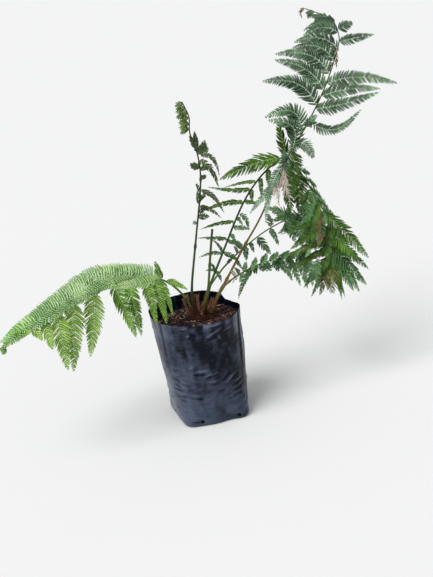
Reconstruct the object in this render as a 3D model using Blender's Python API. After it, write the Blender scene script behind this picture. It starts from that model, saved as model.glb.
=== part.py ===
"""Young tree fern in a nursery grow bag, modelled at its real size.

Six fronds and one cut stipe rise from a low scaly crown that sits on bark mix in a thin black
film bag.  The origin is the middle of the bag's flat underside, +Z is up, and the left frond
leans out along -X.  Lengths are in metres, and the frond tables are in millimetres.
"""

import math
from typing import NamedTuple

import bpy
import bmesh
import numpy as np

# ---------------------------------------------------------------- driving dimensions
BAG_RIM = (0.0925, 0.0825)  # half widths of the open mouth along X and Y
BAG_RIM_CENTRE = (-0.0015, 0.0)
BAG_FOOT_HALF = 0.0675  # half side of the square foot
BAG_FOOT_TURN = math.radians(15.5)
BAG_FOOT_CENTRE = (-0.0015, 0.0075)
BAG_FOOT_POWER = 5.0  # squareness of the foot's superellipse; the mouth is a plain ellipse
BAG_FOLD = 0.006  # radius of the fold where the wall meets the floor
BAG_WALL = 0.0012
BAG_FLOOR = 0.002
BAG_SIDES = 36
# height of the mouth's edge (mm) against the angle round it: it sags in front and steps
# down at the right-hand back
RIM_KEYS = ((0, 217), (35, 208), (46, 212), (54, 225), (78, 229), (122, 228),
            (180, 229), (207, 222), (245, 216), (300, 215), (335, 218), (360, 217))

GAP = 0.0003  # clearance between neighbouring pieces
SOIL_TOP = 0.203
SOIL_EDGE = 0.198
SOIL_LUMP = 0.002
SOIL_FLAT = 0.05  # the mix is level this far round the crown

CROWN_CENTRE = (0.012, 0.001)
CROWN_HALF = (0.042, 0.032, 0.014)
CROWN_SUNK = 0.001  # centre of the mound's ellipsoid below the mix
CROWN_SIDES = 16
SOCKET_LENGTH = 0.020

STEM_SIDES = 8
END_SPAN = 0.0015  # first and last span of a stalk's bar
RACHIS_SIDES = 6
PATH_POINTS = 200  # samples along each frond's curve
TOOTH_PITCH = 0.0160  # spacing of the teeth that stand for the leaflets' own leaflets
MOST_TEETH = 7
RIB_THICK = 0.0020  # thickness of a leaflet's rib at its foot
TIP_THICK = 0.0010
TOOTH_SWEEP = 0.36  # how far a tooth leans towards the leaflet's tip, as a share of its width

# old leaf bases that stand up out of the crown: foot, top (mm), radius at foot (mm)
STUBS = (((-12, 5, 207), (-23, 3, 245), 3.0), ((-8, 11, 207), (-15, 15, 248), 2.6),
         ((-2, 15, 207), (-2, 22, 243), 2.2), ((6, 12, 207), (5, 14, 245), 3.4),
         ((22, 12, 207), (33, 21, 231), 2.6), ((15, -13, 207), (10, -23, 219), 2.6))


class Frond(NamedTuple):
    """One frond: the curve of its stalk and the leaflets on it.

    path    points of the stalk's curve, mm
    radius  of the stalk at its foot, where the blade starts and at its tip, mm
    first   place of the blade's start, in percent of the curve
    split   place where the blade is parted into two pieces, or 0
    rows    (facing, [(count, row, row, ...), ...]) per group; the leaflets of a group are
            dealt evenly between its first and last row and take their sizes between rows.
            A row is place %, reach x, y, z of the tip from the foot mm, rise of the arch
            in percent of the reach, and half width mm.
    """

    path: tuple
    radius: tuple
    first: int = 0
    split: int = 0
    rows: tuple = ()


FRONDS = {
    "left": Frond(
        path=((-9, -4, 224), (-20, -12, 256), (-48, -30, 296), (-82, -52, 315),
              (-147, -86, 328), (-245, -130, 304), (-365, -160, 254)),
        radius=(4.2, 1.9, 0.9), first=19,
        rows=(
            ((0.15, -0.75, 0.65), (
                (1, (22, -9, 6, 39, -5, 9)),
                (13, (25, -74, 12, 28, 16, 19), (42, -74, 18, 21, 16, 21),
                 (56, -77, 16, -4, 18, 21), (75, -73, 16, -24, 15, 18),
                 (94, -21, 4, 1, 10, 8)),
            )),
            ((0.1, -0.95, 0.3), (
                (1, (20, 41, -21, -16, 10, 8)),
                (1, (22, -108, -42, 12, 0, 13)),
                (5, (23, 18, -37, -67, 10, 13), (32, 14, -27, -91, 8, 17),
                 (45, 29, -16, -113, 5, 19)),
                (7, (54, -25, -18, -124, -5, 18), (64, -17, -25, -130, 0, 18),
                 (72, 5, -28, -109, 5, 18), (79, 12, -25, -51, 5, 14),
                 (85, 10, -19, -16, 10, 10), (95, -2, -10, -13, 10, 7)),
            )),
        )),
    "upright": Frond(
        path=((-4, 6, 226), (-3, 3, 267), (17, 0, 362), (40, -3, 470), (42, -8, 527),
              (33, -15, 572), (35, -22, 605), (26, -28, 635)),
        radius=(4.5, 2.0, 0.9), first=43,
        rows=(
            ((0.3, -0.9, 0.2), (
                (1, (44, 21, -19, 6, 0, 8)), (1, (49, 40, -28, -20, 16, 5)),
                (1, (57, 39, -27, -43, 22, 6)), (1, (66, 12, -15, 10, 0, 7)),
                (1, (71, 31, -28, -50, 24, 7)), (1, (74, 36, 8, -49, 34, 6)),
                (1, (75, 17, -21, 26, -25, 10)),
            )),
            ((-0.2, -0.95, 0.2), (
                (1, (50, 1, 2, 29, 0, 7)), (1, (67, -18, -5, 12, 10, 8)),
                (1, (75, 1, -11, 43, 0, 7)), (1, (77, -8, -10, 28, 0, 7)),
                (4, (87, -18, -13, -2, 10, 13), (93, -20, -17, 11, 10, 14),
                 (98, -11, -14, 4, 10, 11)),
            )),
        )),
    "cut": Frond(path=((14, -12, 226), (28, -13, 265), (42, -14, 339), (51, -15, 384)),
                 radius=(4.6, 2.6, 2.0)),
    "arch": Frond(
        path=((19, 1, 227), (31, 3, 262), (63, 18, 319), (113, 45, 403), (152, 62, 448),
              (190, 85, 471), (215, 97, 476), (245, 105, 430), (269, 100, 368),
              (279, 80, 301), (278, 65, 246)),
        radius=(4.6, 2.2, 0.9), first=11, split=59,
        rows=(
            ((0.2, -0.6, 0.75), (
                (1, (12, -21, -10, 6, 10, 5)), (1, (18, -46, -19, 3, 10, 6)),
                (1, (23, -59, -17, 17, 0, 7)), (1, (29, -78, -26, -6, 8, 6)),
                (1, (36, -89, -28, -1, 8, 8)), (1, (44, -95, -30, 10, -3, 9)),
                (1, (56, -127, -42, -17, 7, 17)), (1, (57, -9, -50, 94, -8, 9)),
            )),
            ((-0.3, -0.8, 0.4), (
                (1, (12, 9, -10, -23, 15, 5)), (1, (18, 26, -22, -28, 22, 7)),
                (1, (22, 30, -18, -10, 15, 7)), (1, (27, 37, -18, -2, 6, 7)),
                (1, (32, 14, -1, -40, 25, 7)), (1, (60, -10, -13, -109, 4, 19)),
                (1, (63, 0, -7, -105, 4, 19)),
            )),
            ((0.3, -0.7, 0.6), (
                (5, (65, 28, 56, -19, 10, 11), (73, 30, 56, -47, 10, 13),
                 (79, 38, 50, -37, 10, 13)),
                (1, (84, 83, -12, -86, 5, 20)), (1, (90, 76, -11, -73, 6, 20)),
                (2, (95, 52, -23, -85, 8, 19), (97, 42, -20, -54, 8, 16)),
                (2, (98, 18, -28, -67, 5, 13), (100, 10, -20, -65, 5, 12)),
            )),
            ((-0.3, -0.85, 0.4), (
                (4, (71, -91, -55, -15, 10, 12), (78, -98, -61, -10, 10, 13),
                 (83, -112, -64, -25, 22, 10)),
                (3, (86, -97, -78, -33, 12, 10), (90, -92, -81, -10, 12, 11),
                 (94, -88, -74, 0, 8, 11)),
                (1, (96, -63, -31, -48, 3, 12)),
                (2, (98, -42, -28, -52, 2, 14), (100, -21, -20, -41, 2, 13)),
            )),
        )),
    "tall": Frond(
        path=((33, -4, 227), (54, 0, 256), (106, 20, 327), (149, 38, 382), (201, 64, 466),
              (252, 90, 526), (303, 125, 594), (341, 162, 662), (348, 180, 691),
              (336, 198, 719), (291, 215, 742)),
        radius=(5.0, 2.3, 0.9), first=27,
        rows=(
            ((0.05, -0.85, 0.55), (
                (1, (38, -54, -24, -43, 5, 8)), (1, (44, -47, -34, -100, 16, 10)),
                (1, (45, 0, -26, 32, -30, 11)), (1, (50, -43, 3, 61, 53, 17)),
                (1, (55, -70, 2, 40, 58, 18)), (1, (64, -101, -1, 62, 29, 20)),
                (1, (69, -90, 6, 71, 21, 19)), (1, (74, -104, 1, 53, 27, 18)),
                (1, (78, -80, 0, 38, 29, 16)), (1, (82, -86, -3, 24, 26, 15)),
                (1, (87, -72, -10, 4, 26, 14)), (1, (89, -67, -2, 0, 25, 10)),
                (1, (91, -44, -4, 0, 15, 9)),
                (2, (93, -38, -10, 6, 5, 8), (97, -20, -4, 0, 5, 6)),
            )),
            ((0.15, -0.85, 0.5), (
                (1, (43, -1, -13, -37, 0, 13)), (1, (52, 27, -21, -33, 30, 10)),
                (1, (59, 103, -18, 14, -38, 11)), (1, (63, 127, -13, 19, -5, 15)),
                (1, (67, 117, -9, 2, 9, 15)), (1, (71, 142, 0, -17, 13, 16)),
                (1, (76, 3, -4, -19, 10, 7)), (1, (84, 70, -9, 8, 3, 12)),
                (1, (88, 31, -9, 11, 3, 12)), (1, (90, -10, 4, 19, -10, 6)),
            )),
        )),
    "middle": Frond(
        path=((16, 14, 229), (35, 18, 262), (82, 36, 303), (162, 70, 343),
              (230, 110, 347), (274, 132, 307), (301, 140, 244)),
        radius=(3.8, 1.6, 0.8), first=31,
        rows=(
            ((0.2, -0.8, 0.6), (
                (1, (32, -25, -20, 27, 12, 8)),
                (4, (50, 14, 17, 32, 0, 12), (68, 38, 9, 16, 10, 15)),
                (3, (75, 52, 8, 1, 12, 15), (89, 46, 4, -60, 12, 15)),
            )),
            ((0.1, -0.85, 0.5), (
                (1, (34, -3, -28, -21, 10, 8)), (1, (41, 23, -28, -30, 6, 12)),
                (4, (56, 18, -15, -27, 10, 12), (68, -1, -21, -57, 10, 14),
                 (77, -3, -15, -54, 10, 14)),
                (3, (80, 3, -9, -67, 10, 14), (96, 9, -18, -66, 10, 13)),
            )),
        )),
    "low": Frond(
        path=((35, -16, 228), (57, -22, 266), (93, -14, 287), (147, 14, 295),
              (216, 40, 291), (267, 45, 267)),
        radius=(3.8, 1.6, 0.8), first=27,
        rows=(
            ((0.1, -0.7, 0.7), (
                (1, (28, -4, -3, 12, 0, 6)),
                (5, (35, 12, -1, 17, -10, 9), (50, 19, 0, 16, -10, 11),
                 (73, 32, 0, 3, -5, 12)),
            )),
            ((0.1, -0.85, 0.5), (
                (1, (43, -38, -11, -59, 12, 12)), (1, (46, -3, -10, -15, 45, 4)),
                (6, (54, 15, -5, -16, 10, 9), (62, 24, -14, -44, 8, 11),
                 (74, 15, -16, -65, 6, 13), (83, 5, -22, -62, 6, 12),
                 (93, -9, -19, -45, 10, 10)),
            )),
        )),
}

# colour, roughness of each kind of piece
LOOKS = {
    "bag": ((0.012, 0.014, 0.018), 0.28),
    "soil": ((0.050, 0.030, 0.024), 0.95),
    "crown": ((0.110, 0.045, 0.025), 0.85),
    "left": ((0.160, 0.330, 0.090), 0.55),
    "upright": ((0.050, 0.110, 0.035), 0.60),
    "cut": ((0.070, 0.110, 0.025), 0.60),
    "arch": ((0.060, 0.170, 0.025), 0.55),
    "tall": ((0.100, 0.210, 0.120), 0.55),
    "middle": ((0.060, 0.170, 0.070), 0.55),
    "low": ((0.060, 0.150, 0.080), 0.55),
}


# ---------------------------------------------------------------- curves
def unit(vectors):
    """Vectors scaled to length one."""
    vectors = np.asarray(vectors, float)
    return vectors / np.linalg.norm(vectors, axis=-1, keepdims=True)


def smooth_path(points, count):
    """A smooth curve through the points, sampled at even steps along its length."""
    p = np.asarray(points, float)
    ends = np.vstack([2 * p[0] - p[1], p, 2 * p[-1] - p[-2]])
    t = np.linspace(0, 1, 24, endpoint=False)[:, None]
    spans = [
        0.5 * (2 * b + (c - a) * t + (2 * a - 5 * b + 4 * c - d) * t**2
               + (3 * b - a - 3 * c + d) * t**3)
        for a, b, c, d in zip(ends[:-3], ends[1:-2], ends[2:-1], ends[3:])
    ]
    curve = np.vstack([*spans, p[-1:]])
    run = np.r_[0, np.cumsum(np.linalg.norm(np.diff(curve, axis=0), axis=1))]
    even = np.linspace(0, run[-1], count)
    return np.stack([np.interp(even, run, curve[:, k]) for k in range(3)], axis=1)


def along_path(path, places):
    """Points of an evenly sampled path at the given shares of its length."""
    at = np.asarray(places, float) * (len(path) - 1)
    return np.stack([np.interp(at, np.arange(len(path)), path[:, k]) for k in range(3)], axis=1)


def arched(foot, reach, rise, count):
    """A leaflet's rib: straight from its foot to its tip, lifted in between."""
    length = np.linalg.norm(reach)
    along = reach / length
    lift = np.array([0.0, 0.0, 1.0]) - along * along[2]
    lift /= max(np.linalg.norm(lift), 0.25)
    t = np.linspace(0, 1, count)[:, None]
    return foot + t * reach + 3.2 * rise * length * t * (1 - t) ** 1.25 * lift


# ---------------------------------------------------------------- meshes
def as_object(name, shape, smooth=False):
    """The bmesh as an object of the scene, its faces turned outwards."""
    bmesh.ops.recalc_face_normals(shape, faces=shape.faces)
    mesh = bpy.data.meshes.new(name)
    shape.to_mesh(mesh)
    shape.free()
    if smooth:
        mesh.shade_smooth()
    made = bpy.data.objects.new(name, mesh)
    bpy.context.scene.collection.objects.link(made)
    return made


def from_faces(name, vertices, faces, smooth=False):
    shape = bmesh.new()
    corners = [shape.verts.new(vertex) for vertex in vertices]
    for face in faces:
        shape.faces.new([corners[k] for k in face])
    return as_object(name, shape, smooth)


def tube(name, points, radii, sides):
    """A round bar along the points with flat ends: a bevelled poly curve turned into a mesh."""
    curve = bpy.data.curves.new(name, "CURVE")
    curve.dimensions = "3D"
    curve.bevel_depth = 1.0
    curve.bevel_resolution = sides // 2 - 2
    curve.use_fill_caps = True
    spline = curve.splines.new("POLY")
    spline.points.add(len(points) - 1)
    for point, place, radius in zip(spline.points, points, radii):
        point.co = (*place, 1.0)
        point.radius = radius
    holder = bpy.data.objects.new(name, curve)
    bpy.context.scene.collection.objects.link(holder)
    mesh = evaluated_copy(holder)
    bpy.data.objects.remove(holder)
    bpy.data.curves.remove(curve)
    shape = bmesh.new()
    shape.from_mesh(mesh)
    bpy.data.meshes.remove(mesh)
    bmesh.ops.remove_doubles(shape, verts=shape.verts, dist=1e-6)
    return as_object(name, shape)


def stacked_rings(name, rings, smooth=True):
    """A closed skin over a stack of rings, with a point in the middle of each end.

    Every diagonal climbs the same way, so two skins of one outline lie evenly apart.
    """
    sides = len(rings[0])
    vertices = [p for ring in rings for p in ring]
    vertices += [np.mean(rings[0], axis=0), np.mean(rings[-1], axis=0)]
    low, high = len(rings) * sides, len(rings) * sides + 1
    faces = []
    for k in range(sides):
        n = (k + 1) % sides
        faces.append((low, n, k))
        faces.append((high, (len(rings) - 1) * sides + k, (len(rings) - 1) * sides + n))
        for i in range(len(rings) - 1):
            a, b, c, d = i * sides + k, i * sides + n, (i + 1) * sides + n, (i + 1) * sides + k
            if vertices[a][2] <= vertices[d][2]:
                faces += [(a, b, c), (a, c, d)]
            else:
                faces += [(a, b, d), (b, c, d)]
    return from_faces(name, vertices, faces, smooth)


def leaflet(name, rib, facing, half_width):
    """A thin toothed blade: a rib of diamond section with a tooth on each side between
    every two stations, cut back to the rib in between."""
    length = np.linalg.norm(np.diff(rib, axis=0), axis=1).sum()
    teeth = int(np.clip(round(length / TOOTH_PITCH), 3, MOST_TEETH))
    rib = along_path(rib, np.linspace(0, 1, teeth + 1))
    along = unit(np.gradient(rib, axis=0))
    normal = unit(facing - along * (along @ facing)[:, None])
    side = np.cross(along, normal)
    thick = np.linspace(RIB_THICK, TIP_THICK, teeth + 1)[:, None] / 2
    core = 1.3 * thick
    top, bottom = rib + normal * thick, rib - normal * thick
    left, right = rib - side * core, rib + side * core
    t = (np.arange(teeth) + 0.5) / teeth
    reach = half_width * np.minimum(1, 0.45 + 0.55 * t / 0.25) * (1 - t * 0.97) ** 0.6
    middle = (rib[:-1] + rib[1:]) / 2
    lean = (along[:-1] + along[1:]) / 2 * reach[:, None] * TOOTH_SWEEP
    out = (side[:-1] + side[1:]) / 2 * reach[:, None] * (1 - TOOTH_SWEEP**2) ** 0.5
    vertices = np.concatenate([top, left, bottom, right, middle - out + lean, middle + out + lean])
    n = teeth + 1
    T, L, B, R, P, Q = 0, n, 2 * n, 3 * n, 4 * n, 4 * n + teeth
    faces = [(T, R, B), (T, B, L)]
    faces += [(T + teeth, L + teeth, B + teeth), (T + teeth, B + teeth, R + teeth)]
    for k in range(teeth):
        for edge, tip in ((L, P), (R, Q)):
            faces += [
                (T + k, edge + k, tip + k), (T + k, tip + k, T + k + 1),
                (T + k + 1, tip + k, edge + k + 1), (B + k, tip + k, edge + k),
                (B + k, B + k + 1, tip + k), (B + k + 1, edge + k + 1, tip + k),
            ]
    return from_faces(name, vertices, faces)


# ---------------------------------------------------------------- fusing
def evaluated_copy(holder):
    """The object's mesh with its modifiers applied."""
    graph = bpy.context.evaluated_depsgraph_get()
    return bpy.data.meshes.new_from_object(holder.evaluated_get(graph))


def drop(made):
    mesh = made.data
    bpy.data.objects.remove(made)
    bpy.data.meshes.remove(mesh)


def fuse(base, others):
    """Join the base with every other object at once, and remove the others.

    The blades are thin, many and cross each other, which the MANIFOLD solver handles.
    """
    group = bpy.data.collections.new("operands")
    for other in others:
        group.objects.link(other)
    modifier = base.modifiers.new("fuse", "BOOLEAN")
    modifier.operand_type = "COLLECTION"
    modifier.collection = group
    modifier.operation = "UNION"
    modifier.solver = "MANIFOLD"
    bpy.context.view_layer.update()
    fused = evaluated_copy(base)
    base.modifiers.clear()
    old, base.data = base.data, fused
    bpy.data.meshes.remove(old)
    bpy.data.collections.remove(group)
    for other in others:
        drop(other)
    return base


# ---------------------------------------------------------------- bag and soil
def outline(height, inset=0.0):
    """The bag's outer ring at a share of its height, drawn in by an inset: a square foot
    that rounds off into the mouth's ellipse."""
    angles = np.linspace(0, 2 * math.pi, BAG_SIDES, endpoint=False)
    blend = min(max(height, 0.0), 1.0) ** 0.8
    power = BAG_FOOT_POWER + (2.0 - BAG_FOOT_POWER) * min(1.0, height * 1.6) ** 0.7
    local = angles - BAG_FOOT_TURN
    square = BAG_FOOT_HALF / (
        np.abs(np.cos(local)) ** power + np.abs(np.sin(local)) ** power) ** (1 / power)
    a, b = BAG_RIM
    round_ = a * b / np.hypot(b * np.cos(angles), a * np.sin(angles))
    radius = square * (1 - blend) + round_ * blend - inset
    centre = np.array(BAG_FOOT_CENTRE) * (1 - blend) + np.array(BAG_RIM_CENTRE) * blend
    return np.stack([centre[0] + radius * np.cos(angles), centre[1] + radius * np.sin(angles)], 1)


def rim_heights():
    angles = np.linspace(0, 360, BAG_SIDES, endpoint=False)
    keys = np.array(RIM_KEYS, float)
    return np.interp(angles, keys[:, 0], keys[:, 1]) / 1000


def bag_ring(share, inset=0.0, floor=0.0):
    """A ring of the bag's wall at a share of the way from its floor up to the mouth's edge."""
    height = floor + share * (rim_heights() - floor)
    return np.column_stack([outline(share, inset), height])


def make_bag():
    shares = (0.12, 0.28, 0.45, 0.62, 0.8, 1.0)
    foot = np.column_stack([outline(0, BAG_FOLD), np.zeros(BAG_SIDES)])
    fold = np.column_stack([outline(0), np.full(BAG_SIDES, BAG_FOLD)])
    outer = [foot, fold] + [bag_ring(s) for s in shares]
    inner = [bag_ring(s, BAG_WALL) for s in reversed(shares)]
    inner.append(np.column_stack([outline(0, BAG_WALL), np.full(BAG_SIDES, BAG_FOLD)]))
    inner.append(np.column_stack([outline(0, BAG_FOLD + BAG_WALL), np.full(BAG_SIDES, BAG_FLOOR)]))
    return stacked_rings("bag", outer + inner)


def make_soil():
    """The bark mix that fills the bag, level round the crown and lumpy beyond it."""
    rng = np.random.default_rng(7)
    inset = BAG_WALL + GAP
    rings = [np.column_stack([outline(0, BAG_FOLD + inset), np.full(BAG_SIDES, BAG_FLOOR + GAP)]),
             np.column_stack([outline(0, inset), np.full(BAG_SIDES, BAG_FOLD + GAP)])]
    for share in (0.12, 0.28, 0.45, 0.62, 0.8):
        rings.append(bag_ring(share, inset))
    edge = outline(SOIL_EDGE / rim_heights().mean(), inset + 0.001)
    rings.append(np.column_stack([edge, np.full(BAG_SIDES, SOIL_EDGE)]))
    centre = np.array([CROWN_CENTRE])
    for share in (0.93, 0.82, 0.7):
        lumps = SOIL_TOP - SOIL_LUMP / 2 + rng.uniform(-1, 1, BAG_SIDES) * SOIL_LUMP
        rings.append(np.column_stack([centre + (edge - centre) * share, lumps]))
    around = unit(edge - centre) * SOIL_FLAT
    rings.append(np.column_stack([centre + around, np.full(BAG_SIDES, SOIL_TOP)]))
    return stacked_rings("soil", rings)


# ---------------------------------------------------------------- crown and fronds
def make_crown():
    """A low mound with a flat cut on the soil, the sockets of the stalks and old stubs."""
    shape = bmesh.new()
    bmesh.ops.create_uvsphere(shape, u_segments=CROWN_SIDES, v_segments=CROWN_SIDES // 2, radius=1)
    bmesh.ops.scale(shape, vec=CROWN_HALF, verts=shape.verts)
    bmesh.ops.translate(shape, vec=(*CROWN_CENTRE, SOIL_TOP - CROWN_SUNK), verts=shape.verts)
    cut = bmesh.ops.bisect_plane(
        shape, geom=[*shape.verts, *shape.edges, *shape.faces], clear_inner=True,
        plane_co=(*CROWN_CENTRE, SOIL_TOP + GAP), plane_no=(0, 0, 1))
    rim = [g for g in cut["geom_cut"] if isinstance(g, bmesh.types.BMEdge)]
    bmesh.ops.edgenet_fill(shape, edges=rim)
    mound = as_object("crown", shape)
    parts = []
    for frond in FRONDS.values():
        path = smooth_path(np.array(frond.path) / 1000, PATH_POINTS)
        back = -unit(path[3] - path[0]) * SOCKET_LENGTH
        radius = np.array((1.1, 1.3, 1.1)) * frond.radius[0] / 1000
        parts.append(tube("socket", (path[0] + back, path[0] + back / 2, path[0]), radius, STEM_SIDES))
    for low, high, radius in STUBS:
        ends = np.array([low, high]) / 1000
        parts.append(tube("stub", ends, (radius / 1000, radius * 0.75 / 1000), RACHIS_SIDES))
    return fuse(mound, parts)


def stalk_radii(frond, places):
    """Radii at places of the stalk: a quick taper out of the crown, then a slow one."""
    foot, blade, tip = (r / 1000 for r in frond.radius)
    first = max(frond.first / 100, 0.25)
    return np.interp(places, (0, first * 0.3, first, 1), (foot, (foot + 2 * blade) / 3, blade, tip))


def stalk(name, frond, start, end, count, sides, trim):
    """A stretch of the frond's stalk; short end spans keep its ends square to the curve."""
    path = smooth_path(np.array(frond.path) / 1000, PATH_POINTS)
    length = np.linalg.norm(np.diff(path, axis=0), axis=1).sum()
    start, end = start + trim[0] / length, end - trim[1] / length
    places = np.linspace(start, end, count)
    places = np.r_[start, start + END_SPAN / length, places[1:-1], end - END_SPAN / length, end]
    line = along_path(path, places)
    return tube(name, line, stalk_radii(frond, places), sides)


def leaflets_of(frond):
    """(place, rib, facing, half width) of every leaflet of a frond."""
    path = smooth_path(np.array(frond.path) / 1000, PATH_POINTS)
    for facing, groups in frond.rows:
        for count, *rows in groups:
            keys = np.array(rows, float)
            for place in np.linspace(keys[0, 0], keys[-1, 0], count):
                x, y, z, rise, width = (np.interp(place, keys[:, 0], keys[:, k])
                                        for k in range(1, 6))
                foot = along_path(path, [place / 100])[0]
                rib = arched(foot, np.array([x, y, z]) / 1000, rise / 100, 13)
                yield place, rib, np.array(facing), width / 1000


def make_blade(name, frond, start, end):
    """The stalk and leaflets between two places of a frond, fused into one solid."""
    count = 5 + int((end - start) / 3)
    spine = stalk(name, frond, start / 100, end / 100, count, RACHIS_SIDES,
                  (GAP / 2, GAP / 2 if end < 100 else 0))
    last = end if end < 100 else 101
    leaves = [
        leaflet("leaflet", rib, facing, width)
        for place, rib, facing, width in leaflets_of(frond) if start <= place < last
    ]
    return fuse(spine, leaves)


def make_frond(name, frond):
    """Its stem, and its blade in one or two pieces."""
    if not frond.rows:
        return [stalk(name + "_stem", frond, 0, 1, 8, STEM_SIDES, (GAP, 0))]
    pieces = [stalk(name + "_stem", frond, 0, frond.first / 100, 10, STEM_SIDES, (GAP, GAP / 2))]
    if not frond.split:
        pieces.append(make_blade(name + "_blade", frond, frond.first, 100))
        return pieces
    return pieces + [make_blade(name + "_blade_near", frond, frond.first, frond.split),
                     make_blade(name + "_blade_far", frond, frond.split, 100)]


def material(name, colour, roughness):
    made = bpy.data.materials.new(name)
    made.use_nodes = True
    shader = made.node_tree.nodes["Principled BSDF"]
    shader.inputs["Base Color"].default_value = (*colour, 1)
    shader.inputs["Roughness"].default_value = roughness
    shader.inputs["Metallic"].default_value = 0.0
    return made


def dress(made, look):
    """Give the object a material of its own."""
    made.data.materials.clear()
    made.data.materials.append(material(made.name, *LOOKS[look]))


def main():
    for old in list(bpy.data.objects):
        bpy.data.objects.remove(old)
    dress(make_bag(), "bag")
    dress(make_soil(), "soil")
    dress(make_crown(), "crown")
    for name, frond in FRONDS.items():
        for made in make_frond(name, frond):
            dress(made, name)


main()
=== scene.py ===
"""Looks of a young tree fern in a black film grow bag.

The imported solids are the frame: every piece here stands for them and stays where they are.
Each frond is grown again by the rule of the solids and carried on to the small leaves that
the leaflets are divided into.  Lengths are in metres, and the frond tables in millimetres.
"""

import math
from typing import NamedTuple

import bpy
import numpy as np
from mathutils import Matrix


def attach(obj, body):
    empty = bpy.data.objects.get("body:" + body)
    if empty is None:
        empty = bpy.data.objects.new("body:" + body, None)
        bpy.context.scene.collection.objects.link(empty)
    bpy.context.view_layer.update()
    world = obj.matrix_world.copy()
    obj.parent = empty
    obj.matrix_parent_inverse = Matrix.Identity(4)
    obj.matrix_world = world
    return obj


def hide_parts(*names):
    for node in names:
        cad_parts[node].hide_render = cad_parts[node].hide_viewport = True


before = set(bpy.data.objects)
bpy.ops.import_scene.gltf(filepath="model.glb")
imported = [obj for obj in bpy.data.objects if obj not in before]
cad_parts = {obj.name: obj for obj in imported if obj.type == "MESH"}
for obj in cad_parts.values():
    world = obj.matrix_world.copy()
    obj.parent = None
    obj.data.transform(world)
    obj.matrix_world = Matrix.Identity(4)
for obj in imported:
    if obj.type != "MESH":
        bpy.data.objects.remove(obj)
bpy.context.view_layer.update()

# ---------------------------------------------------------------- sizes
BAG_RIM = (0.0925, 0.0825)  # half widths of the open mouth along X and Y
BAG_RIM_CENTRE = (-0.0015, 0.0)
BAG_FOOT_HALF = 0.0675
BAG_FOOT_TURN = math.radians(15.5)
BAG_FOOT_CENTRE = (-0.0015, 0.0075)
BAG_FOOT_POWER = 5.0
BAG_FOLD = 0.006  # radius of the fold round the foot
FOLD_SHARE = 0.027  # and its share of the bag's height
# where the weight of the mix pulls the foot out: angle, half width in degrees, how far (mm)
BAG_PULLS = ((319, 13, 11.0), (282, 26, 8.0), (241, 12, 2.5), (151, 15, 4.0), (60, 15, 5.0))
RIM_KEYS = ((0, 217), (35, 208), (46, 212), (54, 225), (78, 229), (122, 228),
            (180, 229), (207, 223), (245, 219), (300, 218), (335, 219), (360, 217))
FILM = 0.0005  # thickness of the film
LINING = 0.004  # how far in its unseen inner face lies, below LIP_FOOT of the wall's height
LIP_FOOT = 0.84
HOLE_RADIUS = 0.0038
HOLE_DEPTHS = (-0.003, 0.0, 0.00035)  # of its plug's rings, outwards from the film
HOLE_WALL = 0.216  # height of the mouth's edge that the holes are placed by
# drain holes: angle round the bag, height
HOLES = ((312, 0.0095), (259, 0.0110), (12, 0.012), (50, 0.011), (100, 0.012), (140, 0.011),
         (192, 0.012))
BAG_SIDES = 420
BAG_ROWS = 136
BAG_GIRTH = 78  # radius (mm) at which the film's folds are laid out
# broad dents of the film: depth (mm), waves round the bag, height of a wave (mm), seed
DENTS = ((1.2, 9, 55, 1), (0.7, 19, 26, 2), (0.22, 47, 13, 3))
FOLD_FADES = (1.2, 2.8)  # how fast a fold fades from its line, on its soft and its sharp side
# long swells of the film, in degrees and mm: angle, half width, how far it stands out, and
# the heights over which that comes in, or goes where they fall
SWELLS = ((-6, 24, -6.0, 120, 218), (-14, 34, 3.0, 190, 120))
HOLLOW = (196, 22, 3.0, 75, 38)  # angle, half width, depth, height and half height of the hollow
EDGE_WAVES = (188, 214)  # heights between which the waves of the free edge come in
FOLD_SEED = 17
RELIEF_SPAN = 9  # columns to each side that the film's relief is measured against
RELIEF_ROWS = 4  # and rows above and below
# how strongly the film's relief is painted into its colour: highlight on ridges, shade in valleys
PAINTED_RELIEF_GAIN = 0.60

SOIL_TOP = 0.203
SOIL_EDGE = 0.198
SOIL_HALF = (0.080, 0.075)
SOIL_INSET = 0.006  # how far in from the film's outer face its unseen sides lie
# lumps of the mix: height (mm), waves a metre, where the noise starts, seed
SOIL_LUMPS = ((2.0, 60, 50, 21), (1.4, 160, 50, 22), (0.7, 420, 60, 23))
CROWN_CENTRE = (0.012, 0.001)
CROWN_HALF = (0.027, 0.021, 0.011)
CROWN_FLOOR = SOIL_TOP - 0.001
CROWN_SEED = 41
SCALES_ON_MOUND = 300
SCALES_ON_STALK = 46
FIBRES_ON_STUB = 16

PATH_POINTS = 200  # samples along each frond's curve, as in the solids
SPAN_POINTS = 24  # and between two of its given points
RIB_POINTS = 61  # samples along each leaflet's rib
STALK_ROWS = 260  # rings that each stalk is drawn with, and their sides
STALK_SIDES = 14
RIB_ROWS = 22  # and each leaflet's rib
RIB_SIDES = 6

GROOVE_WIDTH = 0.42  # of the groove along a stalk, in radians round it
STALK_SHARES = (0.74, 0.9, 1.15)  # of a frond's radii at its foot, its blade's start and its tip
KNOT_SWELL = 0.0011  # how far a knot stands out, and half its length
KNOT_HALF = 0.004

# old leaf bases that stand up out of the crown: foot, top (mm), radius at foot (mm)
STUBS = (((-12, 5, 207), (-23, 3, 245), 3.0), ((-8, 11, 207), (-15, 15, 248), 2.6),
         ((-2, 15, 207), (-2, 22, 243), 2.2), ((6, 12, 207), (5, 14, 245), 3.4),
         ((22, 12, 207), (33, 21, 231), 2.6), ((15, -13, 207), (10, -23, 219), 2.6))

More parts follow.
